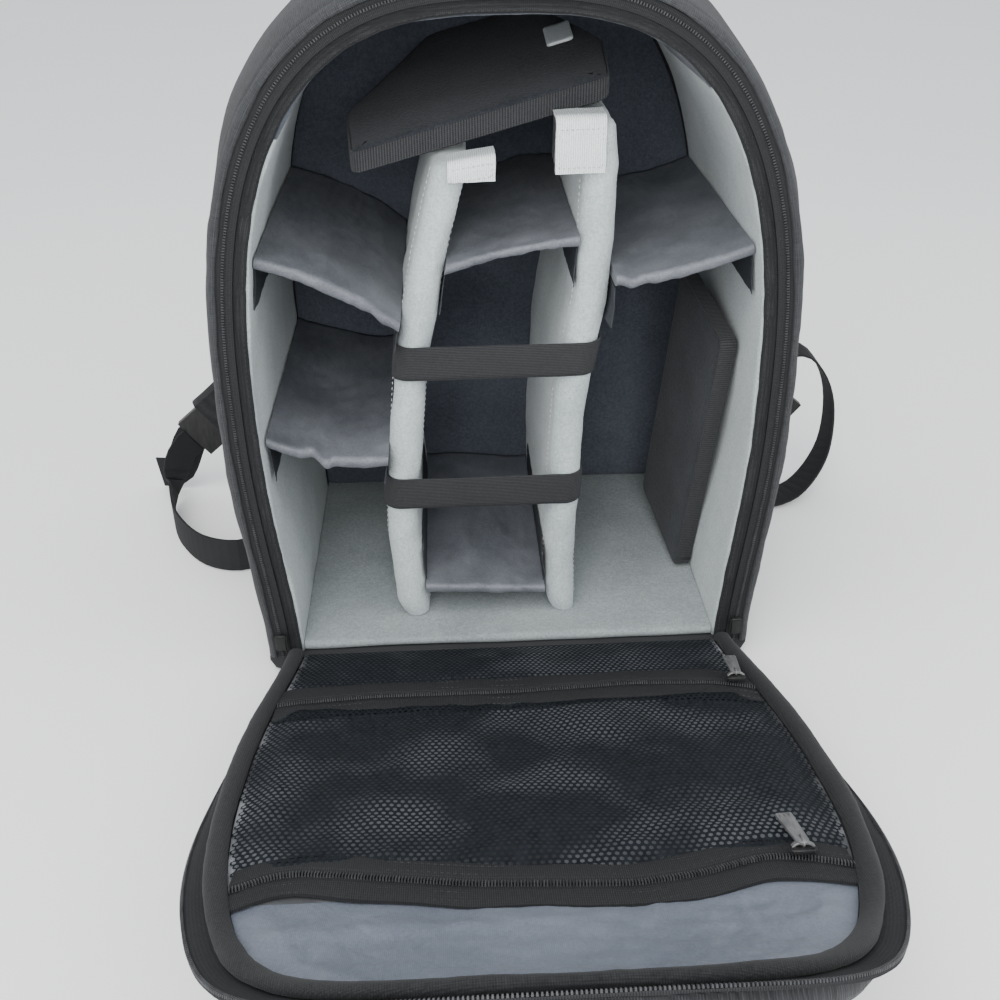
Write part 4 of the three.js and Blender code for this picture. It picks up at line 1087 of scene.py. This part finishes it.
def net(name, s0, s1, bulge, seed, node):
    """Net of real holes: hexagonal cells, each a ring of strands round a hole."""
    pitch = 3.3
    hole = 0.56
    verts, faces = [], []
    rows = int((s1 - s0) / (pitch * 0.866)) + 2
    cols = int(300 / pitch)
    index = {}
    ang = np.radians(np.arange(6) * 60 + 30)
    radius = pitch / math.sqrt(3)

    def corner(x, s):
        key = (round(x, 2), round(s, 2))
        if key not in index:
            index[key] = len(verts)
            verts.append((x, s))
        return index[key]
    for r in range(rows):
        s = s0 + r * pitch * 0.866
        if s > s1:
            break
        w = float(half_width(FLAP_P, FLAP_N, flap_in, s)) - 0.4
        for c in range(-cols // 2, cols // 2 + 1):
            x = (c + 0.5 * (r % 2)) * pitch
            if abs(x) > w - pitch * 0.4:
                continue
            outer = [corner(x + radius * math.cos(a), s + radius * math.sin(a)) for a in ang]
            k0 = len(verts)
            for a in ang:
                verts.append((x + radius * hole * math.cos(a), s + radius * hole * math.sin(a)))
            for i in range(6):
                j = (i + 1) % 6
                faces.append((outer[i], outer[j], k0 + j, k0 + i))
    v = np.array(verts)
    x, s = v[:, 0], np.clip(v[:, 1], s0 - 0.5, s1 + 0.5)
    k = edge_fade(x, s, flap_in, 16.0, s0, s1)
    swell = bulge + bulge * 0.9 * field(x, s, 42, seed)
    swell = swell + bulge * 0.35 * field(x, s * 1.4, 15, seed + 1)
    h = mesh_lift + 0.4 + k * swell
    ob = make(name, on_flap(x, s, h), faces, NET, v, 60)
    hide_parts(node)
    return ob


# Pocket zips: middle, half width, and bends as (share of the reach, shift as a share of the half width).
UPPER_ZIP = (78.0, 18.0, [(-1, 0.35), (-0.6, 0.05), (0, 0.1), (0.5, -0.2), (0.85, 0), (1, 0.4)])
LOWER_ZIP = (262.0, 14.5, [(-1, -0.15), (-0.92, -0.6), (-0.82, -0.75), (-0.64, -0.48), (-0.23, 0.16),
                           (0.29, 0.49), (0.51, 0.17), (0.75, -0.55), (0.87, -0.4), (1, -0.03)])
UNDER_ZIP = 6
net_upper = net("net_upper", FLAP_START + 1, UPPER_ZIP[0] - UNDER_ZIP, 1.8, 5, "mesh_pocket_upper")
net_lower = net("net_lower", UPPER_ZIP[0] + UNDER_ZIP, LOWER_ZIP[0] - UNDER_ZIP, 3.4, 8, "mesh_pocket_lower")
zip_lift = mesh_lift + 1.2 + GAP
flap_up = on_flap(0, 0, 1) - on_flap(0, 0, 0)


def zip_reach(row):
    place, half, _ = row
    return min(float(half_width(FLAP_P, FLAP_N, flap_in, place + k * half)) for k in (-1, 1)) - GAP


def zip_middle(row, x):
    """Middle of a pocket zip at x, smoothed from the solid's bends."""
    place, half, wave = row
    reach = zip_reach(row)
    at = np.linspace(-1.3, 1.3, 131)
    shift = np.interp(at, [k for k, _ in wave], [v for _, v in wave])
    for _ in range(6):
        shift[1:-1] = (shift[:-2] + 2 * shift[1:-1] + shift[2:]) / 4
    return place + half * np.interp(np.asarray(x) / reach, at, shift)


def pocket_zip(name, row, seed, node):
    place, half, _ = row
    w = float(half_width(FLAP_P, FLAP_N, flap_in, place)) + 0.6
    xs = np.linspace(-w, w, 170)
    mids = zip_middle(row, xs)
    edge_wave = 0.8 * np.sin(xs / 19.0 + seed) + 0.5 * np.sin(xs / 7.3 + seed * 3)
    rows = [(-1, -0.6), (-0.995, 0.8), (-0.93, 1.2), (-0.6, 1.0), (-0.32, 1.3), (-0.26, 1.1), (-0.22, 0.4),
            (0.22, 0.4), (0.26, 1.1), (0.32, 1.3), (0.6, 1.0), (0.93, 1.2), (0.995, 0.8), (1, -0.6),
            (0.3, -0.7), (-0.3, -0.7)]
    near_end = np.maximum(0.0, (np.abs(xs) - w + 12) / 12) ** 2 * 1.2
    rings = []
    for x, m, wavy, dive in zip(xs, mids, edge_wave, near_end):
        rings.append([on_flap(x, m + a * half + (wavy * a if abs(a) > 0.9 else 0), zip_lift + 0.2 + b - dive)
                      for a, b in rows])
    ob = sweep(name, rings, TAPE, sharp=50)
    ruffle(ob, 0.7, 22, seed)
    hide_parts(node)
    teeth(f"{name}_coil", on_flap(xs, mids, zip_lift + 0.75 - near_end), flap_up, COIL, 1.3, (0.75, 3.0, 1.4))
    for side, share in (("near", -0.45), ("far", 0.45), ("near_edge", -0.86), ("far_edge", 0.86)):
        seam = on_flap(xs, mids + share * half, zip_lift + 1.1 - near_end)
        stitches(f"{name}_stitches_{side}", seam, flap_up, THREAD, 2.8, (1.9, 0.45, 0.28))


pocket_zip("pocket_zip_band_upper", UPPER_ZIP, 2.0, "pocket_zip_upper")
pocket_zip("pocket_zip_band_lower", LOWER_ZIP, 4.0, "pocket_zip_lower")

def flap_band(name, profile, material, sharp=40.0):
    rings = [[on_flap(*(q + m * out), h) for out, h in profile] for q, m in zip(FLAP_P, FLAP_N)]
    return sweep(name, rings, material, sharp=sharp)


turns = np.linspace(0, 2 * np.pi, 18, endpoint=False)
roll = [(-9.25 + 4.75 * math.cos(a), lining_lift + 2.9 + 3.3 * math.sin(a)) for a in turns]
roll = [(o, max(h, lining_lift + 0.1)) for o, h in roll]
binding = flap_band("flap_binding_roll", roll, TRIM)
ruffle(binding, 0.8, 34, 61)
ruffle(binding, 0.25, 6, 62)
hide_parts("flap_binding")


# The flap's zip tape droops from the first angle at the first place to the second at the second.
DROOP_PLACES, DROOP_ANGLES = (110, 270), (90, 14)
TAPE_START = -4.2


def tape_rings(section):
    """Rings of the flap's zip tape: it hangs down beside the hinge and flares out towards the far end."""
    rings = []
    for q, m in zip(FLAP_P, FLAP_N):
        droop = math.radians(np.interp(q[1], DROOP_PLACES, DROOP_ANGLES))
        flat = math.cos(droop)
        outs = [TAPE_START + a * flat * (2.2 if a < 0 else 1) + b * math.sin(droop) for a, b in section]
        lifts = [lining_lift - max(0, a) * math.sin(droop) + min(0, a) * 0.3 * flat + b * flat
                 for a, b in section]
        rings.append([on_flap(*(q + m * o), h) for o, h in zip(outs, lifts)])
    return np.array(rings)


tape_section = [(-1.6, -0.3), (4, 0.1), (8.9, 0), (8.9, 1.1), (6, 1.3), (3, 0.9), (-1.5, 0.7)]
flap_tape = sweep("flap_zip_tape_cloth", tape_rings(tape_section), TAPE)
ruffle(flap_tape, 0.5, 18, 64)
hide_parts("flap_zip_tape")
edge = tape_rings([(8.0, 1.15), (8.0, 2.15)])
teeth("flap_zip_coil", edge[:, 0], (edge[:, 1] - edge[:, 0])[run_index(edge[:, 0], 1.5)], COIL, 1.5,
      (0.85, 1.7, 1.2))

# Cloth hinge.
hinge_half = FOOT_HALF - PANEL_IN - GAP
h0 = [(FRONT_Y - 0.4, 3.1), (FRONT_Y - 0.4, 12.3), (FRONT_Y - 2.4, 14.2), (FRONT_Y - 5.5, 15.4),
      (FRONT_Y - 8.2, 15.9), (FRONT_Y - 8.4, 14.2), (FRONT_Y - 5.0, 13.2), (FRONT_Y - 2.6, 11.2),
      (FRONT_Y - 2.3, 3.1)]
hinge_xs = np.linspace(-hinge_half, hinge_half, 90)
hinge = sweep("flap_hinge_cloth", [[(x, y, z) for y, z in h0] for x in hinge_xs], TRIM)
ruffle(hinge, 0.6, 12, 63)
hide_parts("flap_hinge")

# Stuffed front pocket.
pocket_rings = []
for t in np.linspace(0, 1, 34):
    s = 50 + (CURL_START - 52) * t
    half = float(half_width(FLAP_P, FLAP_N, -16, s))
    p = on_flap(0.0, s, panel_under - GAP)
    y, top = float(p[1]), float(p[2])
    round_end = 1 - max(0, (t - 0.9) / 0.1) ** 2 * 0.12
    half *= round_end
    row = []
    foot = top * 0.22
    side = [(half, top - 0.2), (half + foot * 0.2, top * 0.8), (half + foot * 0.25, top * 0.55),
            (half + foot * 0.05, top * 0.3), (half - foot * 0.4, top * 0.12),
            (half - foot * 0.8, top * 0.03), (half - foot * 1.3, 0.15)]
    low = [(x, 0.15) for x in np.linspace(half - foot * 1.6, -half + foot * 1.6, 12)]
    high = [(x, top - 0.2) for x in np.linspace(-half + 4, half - 4, 14)]
    pocket_rings.append([(x, y, z) for x, z in side + low + [(-x, z) for x, z in reversed(side)] + high])
pocket = sweep("front_pocket_cloth", pocket_rings, SHELL, sharp=50)
UNDER_SLOPE, UNDER_DROP = 0.2924, 17


def below_panel(p):
    """The pocket's cloth moves freely below the panel and above the floor."""
    free = min(1.0, max(0.0, p.z / 12))
    return free * (0.0 if p.z > HINGE_Z + (-p.y + FRONT_Y) * UNDER_SLOPE - UNDER_DROP else 1.0)


ruffle(pocket, 3.0, 55, 65, weight=below_panel)
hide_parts("front_pocket")


# Zip sliders and pulls.
def rounded_box(name, size, at, basis, material, bevel=0.8):
    bm = bmesh.new()
    bmesh.ops.create_cube(bm, size=1.0)
    bmesh.ops.scale(bm, vec=Vector(size), verts=bm.verts)
    bmesh.ops.bevel(bm, geom=bm.edges[:], offset=bevel, segments=3, affect="EDGES")
    m = Matrix([list(r) for r in np.asarray(basis).T]).to_4x4()
    m.translation = Vector(at)
    bmesh.ops.transform(bm, matrix=m, verts=bm.verts)
    verts = [tuple(v.co) for v in bm.verts]
    faces = [tuple(v.index for v in f.verts) for f in bm.faces]
    bm.free()
    return make(name, verts, faces, material, sharp=40)


def pull_plate(name, length, width, thick, at, basis, material):
    """Pull tab: a plate that widens from the slider to an end with three small raised bars."""
    half = width / 2
    end = length / 2
    outline = [(-end, -half * 0.45), (-end + 2.2, -half * 0.75), (end - 3, -half), (end - 0.6, -half),
               (end, -half * 0.86)]
    outline += [(end, half * 0.86), (end - 0.6, half), (end - 3, half), (-end + 2.2, half * 0.75),
                (-end, half * 0.45)]
    o = np.array(outline)
    b = np.asarray(basis, float)
    rings = []
    for lift, inset in ((-0.5, 0.25), (-0.32, 0.0), (0.32, 0.0), (0.5, 0.25)):
        q = inward(o, inset)
        rings.append(np.asarray(at) + q[:, :1] * b[0] + q[:, 1:2] * b[1] + lift * thick * b[2])
    for k in (-1, 0, 1):
        spot = np.asarray(at) + b[0] * (end - 2.9) + b[1] * k * half * 0.55 + b[2] * thick * 0.5
        rounded_box(f"{name}_bar{k + 1}", (3.4, 1.0, 0.7), spot, basis, material, 0.25)
    return sweep(name, rings, material, sharp=30)


def ring_wire(name, centre, along, up, size, wire, material):
    """Small wire ring that ties the pull to its slider."""
    side = np.cross(along, up)
    ang = np.linspace(0, 2 * np.pi, 20, endpoint=False)
    path = [centre + along * math.cos(a) * size + up * math.sin(a) * size * 0.55 for a in ang]
    turns = np.linspace(0, 2 * np.pi, 8, endpoint=False)
    rings = []
    for a, p_ in zip(ang, path):
        out = along * math.cos(a) + up * math.sin(a)
        rings.append([p_ + out * wire * math.cos(g) + side * wire * math.sin(g) for g in turns])
    return sweep(name, rings, material, closed_path=True, caps=False, sharp=60)


PULL_LENGTH, PULL_WIDTH, PULL_T = 24, 7.4, 1.5
SLIDER = (11.6, 6.6, 3.0)


def pocket_pull(tag, row, from_edge, turn):
    x = zip_reach(row) - from_edge
    place = float(zip_middle(row, x))
    lift = zip_lift + 1.5 + 1.8 + GAP
    ex, es = on_flap(1, 0, 0) - on_flap(0, 0, 0), on_flap(0, 1, 0) - on_flap(0, 0, 0)
    seat = rounded_box(f"slider_{tag}", SLIDER, on_flap(x, place, lift + 1.7), (ex, es, flap_up),
                       PLASTIC, 1.3)
    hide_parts(f"pocket_slider_{tag}")
    bridge = smooth_path([on_flap(x + a, place, lift + b)
                          for a, b in ((-4.5, 2.9), (-2.5, 4.4), (2.0, 4.4), (4.5, 2.9))], 14)
    sweep(f"slider_bridge_{tag}", ribbon_rings(bridge, 2.4, 1.1, lambda t, s: es), ZINC)
    along = ex * math.sin(turn) - es * math.cos(turn)
    across = ex * math.cos(turn) + es * math.sin(turn)
    ring_wire(f"pull_ring_{tag}", on_flap(x, place, lift + 4.4) + along * 1.6, along, flap_up, 3.0, 0.55,
              ZINC)
    centre = on_flap(x, place, lift + 3.6 + GAP + 0.9) + along * 10.5
    pull = pull_plate(f"pull_{tag}", PULL_LENGTH, PULL_WIDTH, PULL_T, centre, (along, across, flap_up), ZINC)
    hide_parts(f"pull_tab_{tag}")


pocket_pull("upper", UPPER_ZIP, 8, 0.06)
pocket_pull("lower", LOWER_ZIP, 16, -0.09)
for tag, side in (("left", -1), ("right", 1)):
    lift = 0.6 + 1.1 + 1.8 + 1.8
    seat = (side * FOOT_HALF, FRONT_Y - lift, HINGE_Z + 10)
    body = rounded_box(f"main_slider_body_{tag}", (7.6, 3.4, 12), seat, np.eye(3), PLASTIC, 1.1)
    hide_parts(f"main_slider_{tag}")

# Harness.
body_half = OPEN_HALF + RIM_OUT + BULGE
body_height = HINGE_Z + OPEN_RISE + RIM_OUT
STRAP = [(0.27, 0.5, 0.84), (0.33, 1.3, 0.73), (0.5, 1.7, 0.54), (0.78, 1.6, 0.35), (1.08, 1.2, 0.22),
         (1.27, 0.9, 0.155)]
for tag, side in (("left", -1), ("right", 1)):
    pts = [(side * a * body_half, BACK_Y + GAP + b * 13, c * body_height) for a, b, c in STRAP]
    path = smooth_path(pts, 70)
    rings = ribbon_rings(path, 61, 12.6, lambda t, s: np.cross(t, (0, 1, 0)), 0.72)
    strap = sweep(f"shoulder_pad_{tag}", rings, TRIM, sharp=50)
    ruffle(strap, 1.0, 26, 71)
    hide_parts(f"shoulder_strap_{tag}")

bpy.context.view_layer.update()

# Floor, light and camera.
floor_mat = Mat("studio floor", None, rough=0.6)
fv = floor_mat.coords("Object")
floor_mat.color(floor_mat.ramp(floor_mat.noise(fv, 1.4, 2.0),
                               [(0.3, (0.925, 0.925, 0.915)), (0.7, (0.955, 0.955, 0.945))]))
mesh = bpy.data.meshes.new("studio_floor")
mesh.from_pydata([(-4, -4, 0), (4, -4, 0), (4, 4, 0), (-4, 4, 0)], [], [(0, 1, 2, 3)])
mesh.materials.append(floor_mat.m)
ground = add_object("studio_floor", mesh)

world = bpy.data.worlds.new("studio")
world.use_nodes = True
world.node_tree.nodes["Background"].inputs["Color"].default_value = (0.93, 0.96, 1.0, 1)
world.node_tree.nodes["Background"].inputs["Strength"].default_value = 1.15
bpy.context.scene.world = world


def area_light(name, at, look, size, power):
    data = bpy.data.lights.new(name, "AREA")
    data.energy = power
    data.size = size
    ob = add_object(name, data)
    ob.location = at
    ob.rotation_euler = (Vector(look) - Vector(at)).to_track_quat("-Z", "Y").to_euler()


area_light("key", (-0.5, -0.9, 1.9), (0, -0.1, 0.1), 1.4, 26)
area_light("front", (-0.15, -1.55, 0.85), (0, 0, 0.22), 1.1, 22)
area_light("fill", (1.4, -0.8, 1.2), (0, 0, 0.2), 1.2, 7)

# The photo's camera: focal length in pixels of a 1000-pixel frame, angles in degrees, eye in metres.
FOCAL_PX, FRAME_PX, SENSOR = 1150, 1000, 36
PITCH, YAW, ROLL = 30.9, 2.6, -0.6
EYE = (-0.031, -0.6765, 0.460)
cam_data = bpy.data.cameras.new("camera")
cam_data.sensor_width = SENSOR
cam_data.lens = FOCAL_PX / FRAME_PX * SENSOR
cam = add_object("camera", cam_data)
pitch, yaw, roll_angle = math.radians(PITCH), math.radians(YAW), math.radians(ROLL)
fwd = Vector((math.sin(yaw) * math.cos(pitch), math.cos(yaw) * math.cos(pitch), -math.sin(pitch)))
right = Vector((math.cos(yaw), -math.sin(yaw), 0))
up = right.cross(fwd)
r = right * math.cos(roll_angle) + up * math.sin(roll_angle)
u = -right * math.sin(roll_angle) + up * math.cos(roll_angle)
rot = Matrix((r, u, -fwd)).transposed().to_4x4()
rot.translation = Vector(EYE)
cam.matrix_world = rot
bpy.context.scene.camera = cam

for node, material in (("base_panel", SHELL), ("ladder_lock_left", PLASTIC), ("ladder_lock_right", PLASTIC),
                       ("webbing_left", WEB), ("webbing_tail_left", WEB), ("webbing_right", WEB),
                       ("haul_loop", WEB)):
    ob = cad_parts[node]
    ob.data.materials.clear()
    ob.data.materials.append(material.m)
bpy.context.view_layer.update()
